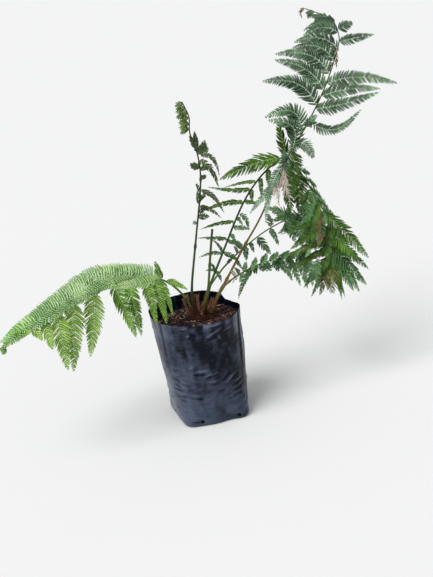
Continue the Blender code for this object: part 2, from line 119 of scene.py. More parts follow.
# folds in the film, each from one end to the other: angle, height (mm), angle, height, half
# width (mm), depth (mm, below 0 for valleys)
FOLDS = (
    (215, 105, 238, 100, 3.0, -1.3), (216, 94, 238, 86, 3.4, -1.6), (214, 82, 239, 79, 3.0, -1.4),
    (209, 73, 232, 68, 3.0, -1.2), (211, 62, 242, 66, 3.2, -1.5), (225, 58, 244, 57, 2.6, -0.9),
    (218, 127, 239, 127, 2.4, 0.9), (220, 114, 234, 111, 2.4, 1.0), (226, 103, 248, 94, 2.6, 1.1),
    (226, 92, 247, 82, 2.6, 1.1), (221, 74, 246, 71, 2.6, 1.0), (239, 66, 268, 59, 2.4, -0.9),
    (243, 73, 266, 66, 2.6, 0.8), (247, 126, 260, 133, 2.6, 1.0), (258, 121, 278, 119, 3.0, 1.4),
    (253, 115, 273, 113, 4.4, -1.6), (269, 106, 283, 113, 2.8, 1.3), (271, 96, 286, 94, 2.6, 0.8),
    (276, 108, 294, 113, 2.8, 1.0), (277, 89, 295, 89, 2.4, -0.7), (294, 90, 308, 106, 3.2, -1.2),
    (300, 83, 315, 101, 2.6, 1.0), (309, 89, 325, 100, 3.0, -1.6), (309, 75, 331, 82, 3.0, -1.6),
    (308, 62, 333, 74, 3.2, -1.5), (306, 54, 324, 57, 2.6, -1.0), (313, 80, 328, 86, 2.2, 1.0),
    (314, 66, 334, 76, 2.2, 1.0), (319, 43, 348, 58, 2.8, -1.4), (321, 31, 348, 46, 2.8, -1.4),
    (316, 13, 345, 24, 3.0, -1.1), (323, 45, 346, 62, 2.2, 1.1), (319, 20, 346, 33, 2.2, 1.0),
    (329, 113, 346, 124, 2.2, 1.3), (333, 99, 352, 112, 2.4, -1.4),
    (328, 125, 342, 138, 2.2, -0.9), (285, 71, 301, 73, 2.4, -0.6), (296, 50, 316, 52, 2.4, -0.6),
    (276, 189, 305, 205, 3.6, 1.6), (279, 182, 301, 194, 3.0, -1.2),
    (301, 194, 322, 201, 1.8, 1.1), (294, 196, 301, 176, 2.8, 1.1),
    (276, 213, 305, 213, 3.4, 1.3), (253, 196, 259, 200, 2.0, 1.4),
    (244, 214, 258, 214, 2.6, 1.3), (234, 161, 240, 151, 1.8, 0.7), (223, 36, 245, 31, 2.8, -0.9),
    (211, 22, 241, 20, 2.8, 1.0), (241, 13, 259, 10, 3.4, -1.2), (205, 33, 233, 40, 2.8, -0.9),
    (262, 40, 280, 43, 2.2, 0.5),
)
# patches of seeded folds on the other sides: angle, height (mm), half spreads (degrees, mm),
# rise over run, number
FOLD_PATCHES = (
    (198, 88, 12, 40, -0.25, 12), (8, 70, 18, 46, 0.45, 18), (40, 60, 20, 38, -0.35, 16),
    (78, 86, 20, 40, 0.20, 18), (112, 52, 16, 34, -0.30, 12), (146, 92, 20, 44, 0.35, 18),
    (172, 50, 16, 30, -0.15, 12), (60, 190, 24, 20, 0.55, 8), (118, 196, 24, 22, -0.45, 8),
    (166, 190, 22, 22, 0.40, 8), (12, 176, 18, 24, -0.40, 7),
)
# lighter places of the film, painted sheen: from and to (degrees), from and to (mm), how strong
SHEEN_PATCHES = (
    (190, 234, 186, 240, 0.30), (323, 337, 176, 240, 0.34), (277, 304, 208, 240, 0.30),
    (186, 214, 40, 150, 0.16), (345, 360, 40, 210, 0.18), (60, 100, 150, 215, 0.20),
    (130, 150, 170, 240, 0.22),
)
# long upright tucks: angle, lean (degrees a mm), depth (mm), half width in degrees, from (mm)
TUCKS = (
    (336, 0.05, 1.2, 2.6, 60), (342, 0.03, -1.0, 2.6, 80), (349, 0.02, 1.2, 2.2, 110),
    (160, -0.05, 2.2, 2.6, 70), (168, -0.02, -1.4, 2.4, 90), (66, 0.04, 1.5, 2.4, 40),
    (253, 0.0, -0.35, 4.0, 24), (112, 0.03, 1.2, 2.6, 60), (214, 0.04, 1.0, 2.4, 120),
)


class Frond(NamedTuple):
    """One frond's stalk and rib."""

    path: tuple  # points of its curve, mm
    radius: tuple  # at its foot, at its blade's start and at its tip, mm
    first: int = 0  # where its blade starts, in percent of the curve; 0 where it is cut off


FRONDS = {
    "left": Frond(((-9, -4, 224), (-20, -12, 256), (-48, -30, 296), (-82, -52, 315),
        (-147, -86, 328), (-245, -130, 304), (-365, -160, 254)), (4.2, 1.9, 0.9), 19),
    "upright": Frond(((-4, 6, 226), (-3, 3, 267), (17, 0, 362), (40, -3, 470), (42, -8, 527),
        (33, -15, 572), (35, -22, 605), (26, -28, 635)), (4.5, 2.0, 0.9), 43),
    "cut": Frond(((14, -12, 226), (28, -13, 265), (42, -14, 339), (51, -15, 384)),
        (4.6, 2.6, 2.0)),
    "arch": Frond(((19, 1, 227), (31, 3, 262), (63, 18, 319), (113, 45, 403), (152, 62, 448),
        (190, 85, 471), (215, 97, 476), (245, 105, 430), (269, 100, 368), (279, 80, 301),
        (278, 65, 246)), (4.6, 2.2, 0.9), 11),
    "tall": Frond(((33, -4, 227), (54, 0, 256), (106, 20, 327), (149, 38, 382), (201, 64, 466),
        (252, 90, 526), (303, 125, 594), (341, 162, 662), (348, 180, 691), (336, 198, 719),
        (291, 215, 742)), (5.0, 2.0, 0.8), 27),
    "middle": Frond(((16, 14, 229), (35, 18, 262), (82, 36, 303), (162, 70, 343), (230, 110, 347),
        (274, 132, 307), (301, 140, 244)), (3.8, 1.6, 0.8), 31),
    "low": Frond(((35, -16, 228), (57, -22, 266), (93, -14, 287), (147, 14, 295), (216, 40, 291),
        (267, 45, 267)), (3.8, 1.6, 0.8), 27),
}

FLOOR_HALF = 30.0
SKY_STRENGTH = 0.50
KEY_STRENGTH = 2.2
KEY_WIDTH = math.radians(38)
KEY_FROM = (-0.42, -0.38, 0.82)
CAMERA_PITCH = math.radians(20.0)  # downwards
CAMERA_ROLL = math.radians(7.5)
CAMERA_LENS = 70.69
CAMERA_PLACE = (0.04427, -2.07820, 1.01494)

# knots on a stalk, in shares of its length
KNOTS = {"tall": (0.055, 0.085, 0.20), "low": (0.22,), "cut": (0.55,), "upright": (0.30, 0.62)}

# leaflets: frond, the way that one side of it faces, and groups of (cut, count, row, row, ...).
# A row is place %, reach x, y, z mm, rise in percent of the reach, and half width mm.  A group
# of EACH has one leaflet for each row, and one with a count deals its leaflets evenly from its
# first row to its last.
EACH = 0
LEAFLETS = (
    ("left", (0.15, -0.75, 0.65),
     ("fresh", EACH, (22, -9, 6, 39, -5, 9)),
     ("mint", 10, (25, -74, 12, 28, 16, 20), (42, -74, 18, 21, 16, 23), (56, -77, 16, -4, 18, 24),
      (75, -73, 16, -24, 15, 20)),
     ("cover", 4, (80, -64, 14, -19, 14, 18), (94, -21, 4, 1, 10, 8))),
    ("left", (0.1, -0.95, 0.3),
     ("fresh", EACH, (20, 41, -21, -16, 10, 8)),
     ("cover", EACH, (21, -105, -102, 35, 2, 16)),
     ("mint", 4, (36, -66, -40, 2, 6, 14), (56, -60, -34, -20, 6, 14)),
     ("mint", 4, (62, -56, -32, -26, 6, 14), (88, -46, -20, -20, 6, 11)),
     ("fresh", EACH, (23, 16, -37, -65, 10, 9), (26, 12, -35, -82, 10, 13),
      (31, 12, -29, -87, 10, 14)),
     ("lush", EACH, (39, 12, -23, -109, 6, 15), (46, 30, -14, -110, 5, 18)),
     # the lighter copy of lush here is painted light
     ("lit", EACH, (55, -23, -16, -123, -5, 21), (64, -20, -20, -130, -2, 21),
      (72, 5, -23, -109, 3, 20), (78, 10, -26, -51, 5, 13), (84, 20, -20, -20, 10, 9),
      (92, 37, -8, 14, 10, 8)),
     ("lush", EACH, (97, -2, -10, -13, 10, 7))),
    ("upright", (0.3, -0.9, 0.2),
     ("dull", EACH, (44, 21, -19, 6, 0, 8), (49, 40, -28, -20, 16, 5), (57, 39, -27, -43, 22, 6),
      (66, 12, -15, 10, 0, 7), (71, 31, -28, -50, 24, 7), (74, 36, 8, -49, 34, 6),
      (75, 17, -21, 26, -25, 10), (46, 18, -19, 19, 0, 7), (52, 14, -18, 20, 0, 6),
      (62, 11, -16, 11, 0, 6), (76, 23, -20, 2, 10, 8))),
    ("upright", (-0.2, -0.95, 0.2),
     ("dull", EACH, (50, 1, 2, 29, 0, 7), (67, -18, -5, 12, 10, 8), (75, 1, -11, 43, 0, 7),
      (77, -8, -10, 28, 0, 7), (41, -8, 1, 4, 0, 5), (69, -17, 6, -6, 0, 7),
      (56, -6, 2, 18, 0, 5)),
     ("young", 6, (87, -17, -13, -6, 14, 10), (94, -20, -17, -5, 14, 11),
      (99, -13, -14, -2, 12, 9))),
    ("arch", (0.2, -0.6, 0.75),
     ("mid", EACH, (12, -21, -10, 6, 10, 4), (18, -48, -19, 4, 12, 6), (23, -61, -17, 16, 3, 6)),
     ("vivid", EACH, (29, -69, -26, 2, 8, 6), (36, -86, -28, 0, 10, 8), (41, -85, -25, 22, -6, 8),
      (44, -67, -15, 0, 6, 5), (56, -127, -42, -17, 7, 24), (58, -11, -7, 78, 0, 17)),
     ("deep", EACH, (46, -3, -15, -43, 0, 6), (50, -5, -16, -30, 0, 8), (41, -3, -15, -26, 0, 6)),
     ("mid", EACH, (31, 9, -10, -18, 0, 5))),
    ("arch", (-0.3, -0.8, 0.4),
     ("mid", EACH, (12, 9, -10, -23, 15, 5), (18, 33, -9, -27, 22, 7), (22, 34, -5, -13, 15, 7),
      (27, 35, -3, -7, 6, 7), (32, 16, -1, -38, 25, 7)),
     ("vivid", EACH, (36, 28, 2, -6, 6, 6)),
     ("mid", EACH, (18, -18, -19, 38, 15, 4), (12, -11, -10, 23, 10, 4), (25, 9, -10, -18, 10, 5)),
     ("deep", EACH, (59, -18, -18, -69, 4, 14)),
     ("finger", EACH, (59, -10, -18, -105, 3, 26), (65, -10, -19, -88, 3, 20))),
    ("arch", (0.3, -0.7, 0.6),
     ("bluish", 5, (65, 25, 36, -18, 10, 12), (73, 28, 46, -46, 10, 15),
      (79, 36, 40, -44, 10, 16)),
     ("deep", EACH, (81, 83, -37, -96, 5, 25), (86, 53, -48, -66, 5, 22),
      (90, 74, -21, -69, 6, 19)),
     ("bluish", EACH, (93, 66, -21, -83, 4, 19), (94, 50, -24, -88, 5, 19),
      (96, 38, -26, -71, 5, 15)),
     ("vivid", EACH, (97, 18, -35, -71, 6, 10), (100, 12, -35, -57, 20, 8))),
    ("arch", (-0.3, -0.85, 0.4),
     ("bluish", EACH, (72, -24, -45, -79, 6, 18)),
     ("deep", EACH, (76, -25, -57, -82, 6, 19)),
     ("bluish", EACH, (80, -15, -58, -56, 5, 18)),
     ("deep", EACH, (86, -7, -58, -54, 4, 19)),
     ("vivid", EACH, (84, -95, -72, 6, 4, 6)),
     ("deep", EACH, (87, -81, -66, -10, 10, 15)),
     ("olive", EACH, (91, -99, -79, -3, 10, 13), (94, -86, -74, -2, 6, 11)),
     ("deep", EACH, (96, -64, -51, -41, 3, 13)),
     ("olive", EACH, (97, -49, -35, -62, 2, 12)),
     ("brown", EACH, (78, -14, -41, -67, 10, 9), (81, -21, -77, -41, 12, 9),
      (83, -17, -79, -25, -12, 7)),
     ("rusty", EACH, (98, -32, -38, -54, 2, 16), (99, -8, -47, -42, 2, 24))),
    ("tall", (0.05, -0.85, 0.55),
     ("pale", EACH, (38, -54, -24, -43, 5, 8), (44, -47, -34, -100, 16, 10)),
     ("silver", EACH, (45, 0, -26, 32, -30, 11), (50, -43, 3, 61, 53, 17),
      (55, -70, 2, 40, 58, 18), (64, -101, -1, 62, 29, 20), (69, -90, 6, 71, 21, 19),
      (74, -104, 1, 53, 27, 18)),
     # the darker copy of silver in the rows below is painted shade on the upper leaflets
     ("slate", EACH, (78, -80, 0, 38, 29, 16), (82, -86, -3, 24, 26, 15),
      (87, -72, -10, 4, 26, 14), (89, -67, -2, 0, 25, 10), (91, -44, -4, 0, 15, 9)),
     ("silver", EACH, (57, 25, -18, 25, 10, 9)),
     ("pale", EACH, (54, -26, -11, -43, 12, 12), (49, -32, -15, -70, 12, 12)),
     ("slate", 2, (93, -38, -10, 6, 5, 8), (97, -20, -4, 0, 5, 6)),
     ("slate", 3, (92, -22, -10, -16, 8, 8), (98, -9, -5, -14, 8, 6)),
     ("brown", EACH, (100, -11, -4, -8, 40, 4), (100, -9, -5, -19, 50, 5))),
    ("tall", (0.15, -0.85, 0.5),
     ("withered", EACH, (42, 12, -31, -34, 0, 12), (40, -10, -27, -25, 0, 12),
      (44, 4, -24, -27, 0, 10), (42, 14, -34, -52, 0, 13), (40, -2, -30, -48, 0, 10)),
     ("deep", EACH, (49, 9, 0, -45, 0, 24)),
     ("pale", EACH, (52, 28, -21, -32, 30, 14)),
     ("mid", EACH, (11, 9, -8, -19, 15, 4), (14, 11, -13, -14, 15, 4)),
     ("brown", EACH, (18, 3, -9, 9, 10, 4)),
     ("silver", EACH, (59, 103, -18, 14, -38, 11), (63, 127, -13, 19, -5, 15),
      (67, 117, -9, 2, 9, 15), (71, 142, 0, -17, 13, 16)),
     ("brown", EACH, (83, -18, -8, -29, 20, 8), (81, -3, -1, -33, 10, 7), (78, -9, 5, -18, 20, 6)),
     # the darker copy of silver here is painted shade
     ("slate", EACH, (84, 70, -9, 8, 3, 12), (88, 31, -9, 11, 3, 12), (90, -10, 4, 19, -10, 6))),
    ("middle", (0.2, -0.8, 0.6),
     ("mid", EACH, (32, -25, -20, 27, 12, 8)),
     ("mid", 2, (50, -2, 17, 26, 0, 9), (58, 15, 10, 28, 0, 11)),
     ("cool", EACH, (61, -43, -21, 36, 8, 15), (69, -66, -43, 14, 8, 14)),
     ("mid", EACH, (70, -59, -49, -12, 6, 13), (68, 38, 9, 16, 10, 14)),
     ("mid", 3, (75, 52, 8, 1, 12, 15), (89, 46, 4, -60, 12, 15))),
    ("middle", (0.1, -0.85, 0.5),
     ("mid", EACH, (34, -3, -28, -21, 10, 8), (41, 23, -28, -30, 6, 12), (49, 13, -21, -32, 10, 8),
      (25, -15, -16, -9, 10, 4), (29, -8, -21, 23, 10, 4), (37, 4, -22, -15, 10, 6)),
     ("cool", 4, (58, 17, -20, -43, 10, 13), (68, 2, -21, -64, 10, 15),
      (77, -4, -15, -58, 10, 14)),
     ("mid", 3, (80, 3, -9, -67, 10, 14), (96, 9, -18, -66, 10, 13))),
    ("low", (0.1, -0.7, 0.7),
     ("withered", EACH, (28, -4, -3, 12, 0, 6)),
     ("mid", 7, (34, 7, 1, 21, -10, 7), (50, 17, 0, 21, -10, 9), (77, 31, -3, 3, -5, 11)),
     ("cool", 6, (40, 14, -17, 25, -10, 8), (61, 17, -28, 22, -10, 9), (82, 17, -21, 18, -5, 9))),
    ("low", (0.1, -0.85, 0.5),
     ("mid", EACH, (43, -38, -11, -59, 12, 9), (46, -3, -10, -15, 45, 4),
      (31, -10, -16, 21, 10, 5), (34, -10, -19, -15, 10, 5)),
     ("withered", EACH, (31, -16, -6, -16, 20, 5)),
     ("mid", 5, (36, 7, -2, -12, 10, 7), (50, 9, -10, -14, 10, 8), (58, 10, -9, -23, 10, 10)),
     ("mid", 4, (50, 8, -20, -13, 10, 7), (64, 12, -26, -18, 10, 8), (80, 10, -20, -30, 10, 9)),
     ("cool", 5, (61, 28, -13, -46, 10, 10), (74, 18, -16, -70, 8, 12),
      (93, -6, -19, -54, 10, 12))),
)


class Cut(NamedTuple):
    """How a leaflet is divided into small leaves, and their colours."""

    pitch: float  # mm between neighbours on one side
    fill: float  # a small leaf's width as a share of the pitch
    sweep: float  # degrees that it leans towards the leaflet's tip
    curve: float  # how far its own tip bends on, as a share of its length
    droop: float  # how far it hangs, as a share of its length
    fold: float  # how far its edges rise above its vein, as a share of its half width
    ragged: float  # seeded spread of length and lean
    wide: float  # its small leaves' reach as a share of the leaflet's half width
    deep: tuple  # darker green, 0 to 255 as displayed; painted shade on small leaves' edges and feet
    light: tuple  # the lighter green, painted as the lit band down each small leaf
    rough: float  # roughness


CUTS = {
    "mint": Cut(4.9, 0.90, 24, 0.16, 0.10, 0.35, 0.07, 1.1, (70, 124, 48), (228, 255, 192), 0.50),
    "cover": Cut(6.8, 0.84, 30, 0.22, 0.10, 0.45, 0.08, 1.15,
                 (104, 168, 62), (248, 255, 208), 0.48),
    "fresh": Cut(4.8, 0.92, 30, 0.24, 0.14, 0.45, 0.10, 1.25, (22, 60, 8), (184, 240, 104), 0.46),
    "lush": Cut(4.8, 0.94, 32, 0.24, 0.14, 0.45, 0.14, 1.4, (18, 60, 6), (178, 236, 96), 0.46),
    # The next kind is a lighter copy of lush: painted light on leaflets hanging from the left
    # frond.
    "lit": Cut(5.0, 0.96, 28, 0.24, 0.14, 0.45, 0.12, 1.4, (62, 116, 20), (222, 255, 138), 0.46),
    "dull": Cut(4.2, 0.84, 34, 0.25, 0.20, 0.40, 0.26, 1.45, (24, 38, 18), (124, 148, 92), 0.60),
    "young": Cut(3.6, 1.00, 34, 0.25, 0.25, 0.40, 0.25, 1.1, (54, 80, 28), (168, 196, 120), 0.58),
    "vivid": Cut(4.6, 0.94, 32, 0.26, 0.12, 0.40, 0.18, 1.25, (30, 64, 6), (120, 172, 48), 0.48),
    "finger": Cut(5.4, 0.98, 30, 0.18, 0.16, 0.45, 0.12, 1.25, (22, 48, 10), (130, 176, 74), 0.55),
    "deep": Cut(4.8, 0.96, 32, 0.16, 0.14, 0.45, 0.12, 1.15, (18, 46, 8), (130, 180, 80), 0.55),
    "olive": Cut(4.8, 0.92, 30, 0.22, 0.22, 0.40, 0.14, 1.1, (34, 58, 12), (120, 148, 58), 0.55),
    "bluish": Cut(4.8, 0.96, 30, 0.24, 0.14, 0.45, 0.12, 1.3, (20, 56, 18), (148, 206, 126), 0.52),
    "silver": Cut(4.9, 0.95, 26, 0.12, 0.12, 0.45, 0.08, 1.4, (2, 22, 10), (148, 190, 144), 0.50),
    "pale": Cut(4.8, 0.88, 28, 0.14, 0.14, 0.45, 0.12, 1.4, (8, 40, 20), (202, 240, 196), 0.50),
    # The next kind is a darker copy of silver: painted shade on the tall frond's upper leaflets,
    # which face up into the light.
    "slate": Cut(4.7, 0.94, 26, 0.14, 0.12, 0.50, 0.08, 1.4, (0, 16, 8), (136, 176, 134), 0.50),
    "mid": Cut(4.4, 0.86, 32, 0.22, 0.16, 0.40, 0.20, 1.2, (18, 52, 24), (128, 172, 110), 0.52),
    "cool": Cut(4.6, 0.90, 30, 0.22, 0.16, 0.45, 0.18, 1.25, (20, 56, 26), (170, 226, 150), 0.52),
    "rusty": Cut(4.4, 0.70, 34, 0.30, 0.30, 0.50, 0.20, 1.1, (60, 70, 24), (160, 156, 88), 0.65),
    "withered": Cut(2.8, 0.62, 30, 0.60, 0.55, 0.60, 0.60, 1.2,
                    (178, 150, 140), (255, 246, 240), 0.80),
    "brown": Cut(3.0, 0.70, 30, 0.60, 0.55, 0.60, 0.50, 1.3, (84, 58, 38), (190, 154, 120), 0.80),
}

RIB_TINTS = {  # lower part, upper part
    "left": ((120, 160, 90), (190, 215, 160)), "upright": ((52, 70, 36), (90, 105, 60)),
    "arch": ((66, 100, 36), (140, 170, 90)), "tall": ((120, 158, 114), (176, 204, 160)),
    "middle": ((90, 120, 70), (160, 185, 140)), "low": ((80, 110, 66), (150, 175, 130)),
}
STALK_TINTS = {  # foot, lower part, upper part
    "left": ((112, 70, 46), (102, 134, 62), (150, 180, 96)),
    "upright": ((100, 66, 42), (50, 76, 22), (46, 64, 18)),
    "cut": ((112, 74, 46), (76, 92, 36), (46, 42, 26)),
    "arch": ((110, 80, 44), (62, 90, 24), (36, 54, 16)),
    "tall": ((118, 82, 44), (116, 88, 26), (88, 80, 22)),
    "middle": ((104, 92, 46), (82, 114, 54), (100, 128, 76)),
    "low": ((110, 90, 44), (92, 92, 38), (84, 108, 56)),
}


# ---------------------------------------------------------------- arrays and curves
def unit(vectors):
    """Each vector over its own length."""
    vectors = np.asarray(vectors, float)
    return vectors / np.linalg.norm(vectors, axis=-1, keepdims=True)


def square_to(along, vectors):
    """The unit part of each vector that is square to a unit vector along: v - along*(along.v)."""
    return unit(vectors - along * (along * vectors).sum(-1, keepdims=True))


def smooth_path(points, count):
    """A cubic through the points, each span's slopes taken from its neighbours, sampled at
    even steps of its length."""
    p = np.asarray(points, float)
    ends = np.vstack([2 * p[0] - p[1], p, 2 * p[-1] - p[-2]])
    t = np.linspace(0, 1, SPAN_POINTS, endpoint=False)[:, None]
    spans = [
        0.5 * (2 * b + (c - a) * t + (2 * a - 5 * b + 4 * c - d) * t**2
               + (3 * b - a - 3 * c + d) * t**3)
        for a, b, c, d in zip(ends[:-3], ends[1:-2], ends[2:-1], ends[3:])
    ]
    curve = np.vstack([*spans, p[-1:]])
    run = np.r_[0, np.cumsum(np.linalg.norm(np.diff(curve, axis=0), axis=1))]
    even = np.linspace(0, run[-1], count)
    return np.stack([np.interp(even, run, curve[:, k]) for k in range(3)], axis=1)


def along_path(path, places):
    """Points of an evenly sampled path at the given shares of its length."""
    at = np.asarray(places, float) * (len(path) - 1)
    return np.stack([np.interp(at, np.arange(len(path)), path[:, k]) for k in range(3)], axis=1)


def path_length(path):
    """The sum of the steps between a path's samples."""
    return np.linalg.norm(np.diff(path, axis=0), axis=1).sum()


def arched(foot, reach, rise):
    """A leaflet's rib: foot + t*reach, lifted by 3.2*rise*length*t*(1-t)^1.25 square to it."""
    length = np.linalg.norm(reach)
    along = reach / length
    lift = np.array([0.0, 0.0, 1.0]) - along * along[2]
    lift /= max(np.linalg.norm(lift), 0.25)
    t = np.linspace(0, 1, RIB_POINTS)[:, None]
    return foot + t * reach + 3.2 * rise * length * t * (1 - t) ** 1.25 * lift


def lattice(u, v, seed, wrap=97):
    """Smooth noise from -1 to 1: seeded heights at whole numbers, joined by 3t² - 2t³.  It
    repeats after `wrap` steps of u."""
    heights = np.random.default_rng(seed).uniform(-1, 1, (wrap, 256))
    u, v = np.broadcast_arrays(np.asarray(u, float), np.asarray(v, float))
    iu, iv = np.floor(u).astype(int), np.floor(v).astype(int)
    fu, fv = u - iu, v - iv
    fu, fv = fu * fu * (3 - 2 * fu), fv * fv * (3 - 2 * fv)
    a, b, c, d = iu % wrap, (iu + 1) % wrap, iv % 256, (iv + 1) % 256
    near = heights[a, c] * (1 - fu) + heights[b, c] * fu
    return near * (1 - fv) + (heights[a, d] * (1 - fu) + heights[b, d] * fu) * fv


def step(low, high, x):
    """0 below low, 1 above high, and 3t² - 2t³ between them."""
    t = np.clip((x - low) / (high - low), 0, 1)
    return t * t * (3 - 2 * t)


# ---------------------------------------------------------------- meshes
def as_piece(name, points, quads, tris=None, uv=None, sharp=None):
    """One mesh object from arrays of points, four-cornered faces and three-cornered faces.
    uv holds one pair for each point, and edges bent by more than `sharp` degrees stay sharp."""
    points = np.ascontiguousarray(np.reshape(points, (-1, 3)), np.float32)
    quads = np.reshape(quads, (-1, 4)).astype(np.int32)
    tris = np.reshape(() if tris is None else tris, (-1, 3)).astype(np.int32)
    corners = np.concatenate([quads.ravel(), tris.ravel()])
    sizes = np.r_[np.full(len(quads), 4), np.full(len(tris), 3)]
    mesh = bpy.data.meshes.new(name)
    mesh.vertices.add(len(points))
    mesh.vertices.foreach_set("co", points.ravel())
    mesh.loops.add(len(corners))
    mesh.loops.foreach_set("vertex_index", corners)
    mesh.polygons.add(len(sizes))
    mesh.polygons.foreach_set("loop_start", np.r_[0, np.cumsum(sizes)[:-1]].astype(np.int32))
    mesh.update(calc_edges=True)
    mesh.shade_smooth()
    if uv is not None:
        layer = mesh.uv_layers.new(name="along")
        layer.uv.foreach_set("vector", np.reshape(uv, (-1, 2))[corners].astype(np.float32).ravel())
    if sharp is not None:
        mesh.set_sharp_from_angle(angle=math.radians(sharp))
    mesh.validate()
    made = bpy.data.objects.new(name, mesh)
    bpy.context.scene.collection.objects.link(made)
    return made


def ring_faces(rows, sides):
    """Faces of a skin over rows of closed rings, each row after the first one a step along
    the skin, turned so that they face outwards where the rings run anticlockwise."""
    i, k = np.meshgrid(np.arange(rows - 1), np.arange(sides), indexing="ij")
    n = (k + 1) % sides
    return np.stack([i * sides + k, i * sides + n, (i + 1) * sides + n, (i + 1) * sides + k], -1)


def tube(path, radii, sides, up=(0.0, -1.0, 0.4), groove=0.0, seed=0):
    """Rings round a path and their map: point = path + radius*(cos a * side + sin a * top),
    with top the way nearest to up.  The radius is less by groove*exp(-((a - 90°)/width)²)
    and by a seeded few percent of lumps.  The map is (share of the turn, decimetres along)."""
    along = unit(np.gradient(path, axis=0))
    top = square_to(along, np.asarray(up))
    side = np.cross(top, along)
    a = np.linspace(0, 2 * math.pi, sides, endpoint=False)
    dip = 1 - groove * np.exp(-((a - math.pi / 2) / GROOVE_WIDTH) ** 2)
    run = np.arange(len(path))[:, None]
    lumps = 1 + 0.05 * lattice(a / (2 * math.pi) * 5, run / 9, seed, 5)
    radii = np.asarray(radii, float)[:, None] * dip * lumps
    rings = path[:, None] + radii[..., None] * (
        np.cos(a)[:, None] * side[:, None] + np.sin(a)[:, None] * top[:, None])
    length = np.linspace(0, path_length(path), len(path))
    uv = np.stack(np.broadcast_arrays((a / (2 * math.pi))[None], length[:, None] * 10), -1)
    return rings, uv


def skins(name, parts):
    """Closed skins as one mesh: parts are pairs of rings (rows, sides, 3) and their map
    (rows, sides, 2) or None, all of one shape.  A fan round its middle closes each end."""
    def capped(grids):
        grids = np.stack(grids)
        flat = grids.reshape(len(grids), -1, grids.shape[-1])
        return np.concatenate([flat, grids[:, [0, -1]].mean(2)], 1)

    rows, sides = parts[0][0].shape[:2]
    points = capped([rings for rings, _ in parts])
    uv = None if parts[0][1] is None else capped([grid for _, grid in parts])
    k = np.arange(sides)
    n = (k + 1) % sides
    low = np.stack([np.full(sides, rows * sides), n, k], -1)
    high = np.stack([np.full(sides, rows * sides + 1), (rows - 1) * sides + k,
                     (rows - 1) * sides + n], -1)
    start = (np.arange(len(parts)) * points.shape[1])[:, None, None]
    quads = ring_faces(rows, sides).reshape(1, -1, 4) + start
    tris = np.concatenate([low, high])[None] + start
    return as_piece(name, points, quads, tris, uv)


class Blades(NamedTuple):
    """Arrays with one row for each small blade."""

    foot: np.ndarray
    along: np.ndarray
    top: np.ndarray
    length: np.ndarray
    half: np.ndarray
    curve: np.ndarray
    droop: np.ndarray
    hand: np.ndarray = None  # 1 or -1: which edge its map starts from


# outlines of small blades: shares of the length, and the half width there
LOBED = ((0, 0.13, 0.27, 0.41, 0.55, 0.70, 0.85, 1.0),
         (0.5, 1.0, 0.80, 0.98, 0.72, 0.80, 0.48, 0.1))
PLAIN = ((0, 0.3, 0.7, 1.0), (0.7, 1.0, 0.7, 0.15))
CHIP = ((0, 0.08, 0.5, 0.9, 1.0), (0.55, 0.95, 1.0, 0.8, 0.4))


def blades(name, b, shape, fold=0.35, thick=0.25, least=0.0002, sharp=70):
    """Closed thin blades, all of one shape.

    At share s a blade's middle is foot + along*length*s + across*curve*length*s² -
    top*droop*length*s².  Its edges lie half*width(s) to each side and `fold` of that above
    the middle; its underside lies `thick` of that lower, or `least` where that is less.  Its
    map is (share of the way across, share of its length).
    """
    s, width = (np.array(part) for part in shape)
    across = np.cross(b.top, b.along)
    count = len(b.length)
    size, at = b.length[:, None, None], s[None, :, None]
    middle = (b.foot[:, None] + b.along[:, None] * size * at
              + across[:, None] * (b.curve[:, None, None] * size * at**2)
              - b.top[:, None] * (b.droop[:, None, None] * size * at**2))
    half = (b.half[:, None] * width[None])[..., None]
    rise = b.top[:, None] * half * fold
    edge = across[:, None] * half
    under = b.top[:, None] * np.maximum(half * thick, least)
    points = np.stack([middle - edge + rise, middle + under * 0.3, middle + edge + rise,
                       middle - under], 2)
    spans = len(s) - 1
    i, k = np.meshgrid(np.arange(spans), np.arange(4), indexing="ij")
    n = (k + 1) % 4
    walls = np.stack([i * 4 + n, i * 4 + k, i * 4 + 4 + k, i * 4 + 4 + n], -1).reshape(-1, 4)
    ends = np.array([[0, 1, 2, 3], [spans * 4 + 3, spans * 4 + 2, spans * 4 + 1, spans * 4]])
    faces = np.concatenate([walls, ends])
    start = (np.arange(count) * 4 * len(s))[:, None, None]
    hand = np.ones(count) if b.hand is None else b.hand
    over = 0.5 + hand[:, None, None] * np.array([-0.5, 0, 0.5, 0])
    uv = np.stack(np.broadcast_arrays(over, s[None, :, None]), -1)
    return as_piece(name, points, faces[None] + start, uv=uv, sharp=sharp)


def gathered(parts):
    """Several Blades as one."""
    return Blades(*(None if column[0] is None else np.concatenate(column)
                    for column in zip(*parts)))


# ---------------------------------------------------------------- finishes
def linear(colour):
    """A display colour of 0 to 255 as linear light."""
    c = np.array(colour, float) / 255
    return tuple(np.where(c <= 0.04045, c / 12.92, ((c + 0.055) / 1.055) ** 2.4)) + (1.0,)


class Value:
    """A socket of a finish's nodes; arithmetic on it adds the Math nodes."""

    def __init__(self, finish, socket):
        self.finish, self.socket = finish, socket

    def maths(self, operation, *terms, clamp=False):
        """One Math node over the terms, in their order."""
        settings = {"operation": operation, "use_clamp": clamp}
        return self.finish.node("ShaderNodeMath", settings, dict(enumerate(terms)))

    def __add__(self, other):
        return self.maths("ADD", self, other)

    __radd__ = __add__

    def __sub__(self, other):
        return self.maths("SUBTRACT", self, other)

    def __rsub__(self, other):
        return self.maths("SUBTRACT", other, self)

    def __mul__(self, other):
        return self.maths("MULTIPLY", self, other)

    __rmul__ = __mul__

    def __abs__(self):
        return self.maths("ABSOLUTE", self)

    def clamped(self):
        """Cut to 0 below and to 1 above."""
        return self.maths("ADD", self, 0.0, clamp=True)

    def stepped(self, low, high):
        """0 below low, 1 above high, smooth between."""
        settings = {"interpolation_type": "SMOOTHSTEP"}
        return self.finish.node("ShaderNodeMapRange", settings, {
            "Value": self, "From Min": low, "From Max": high})


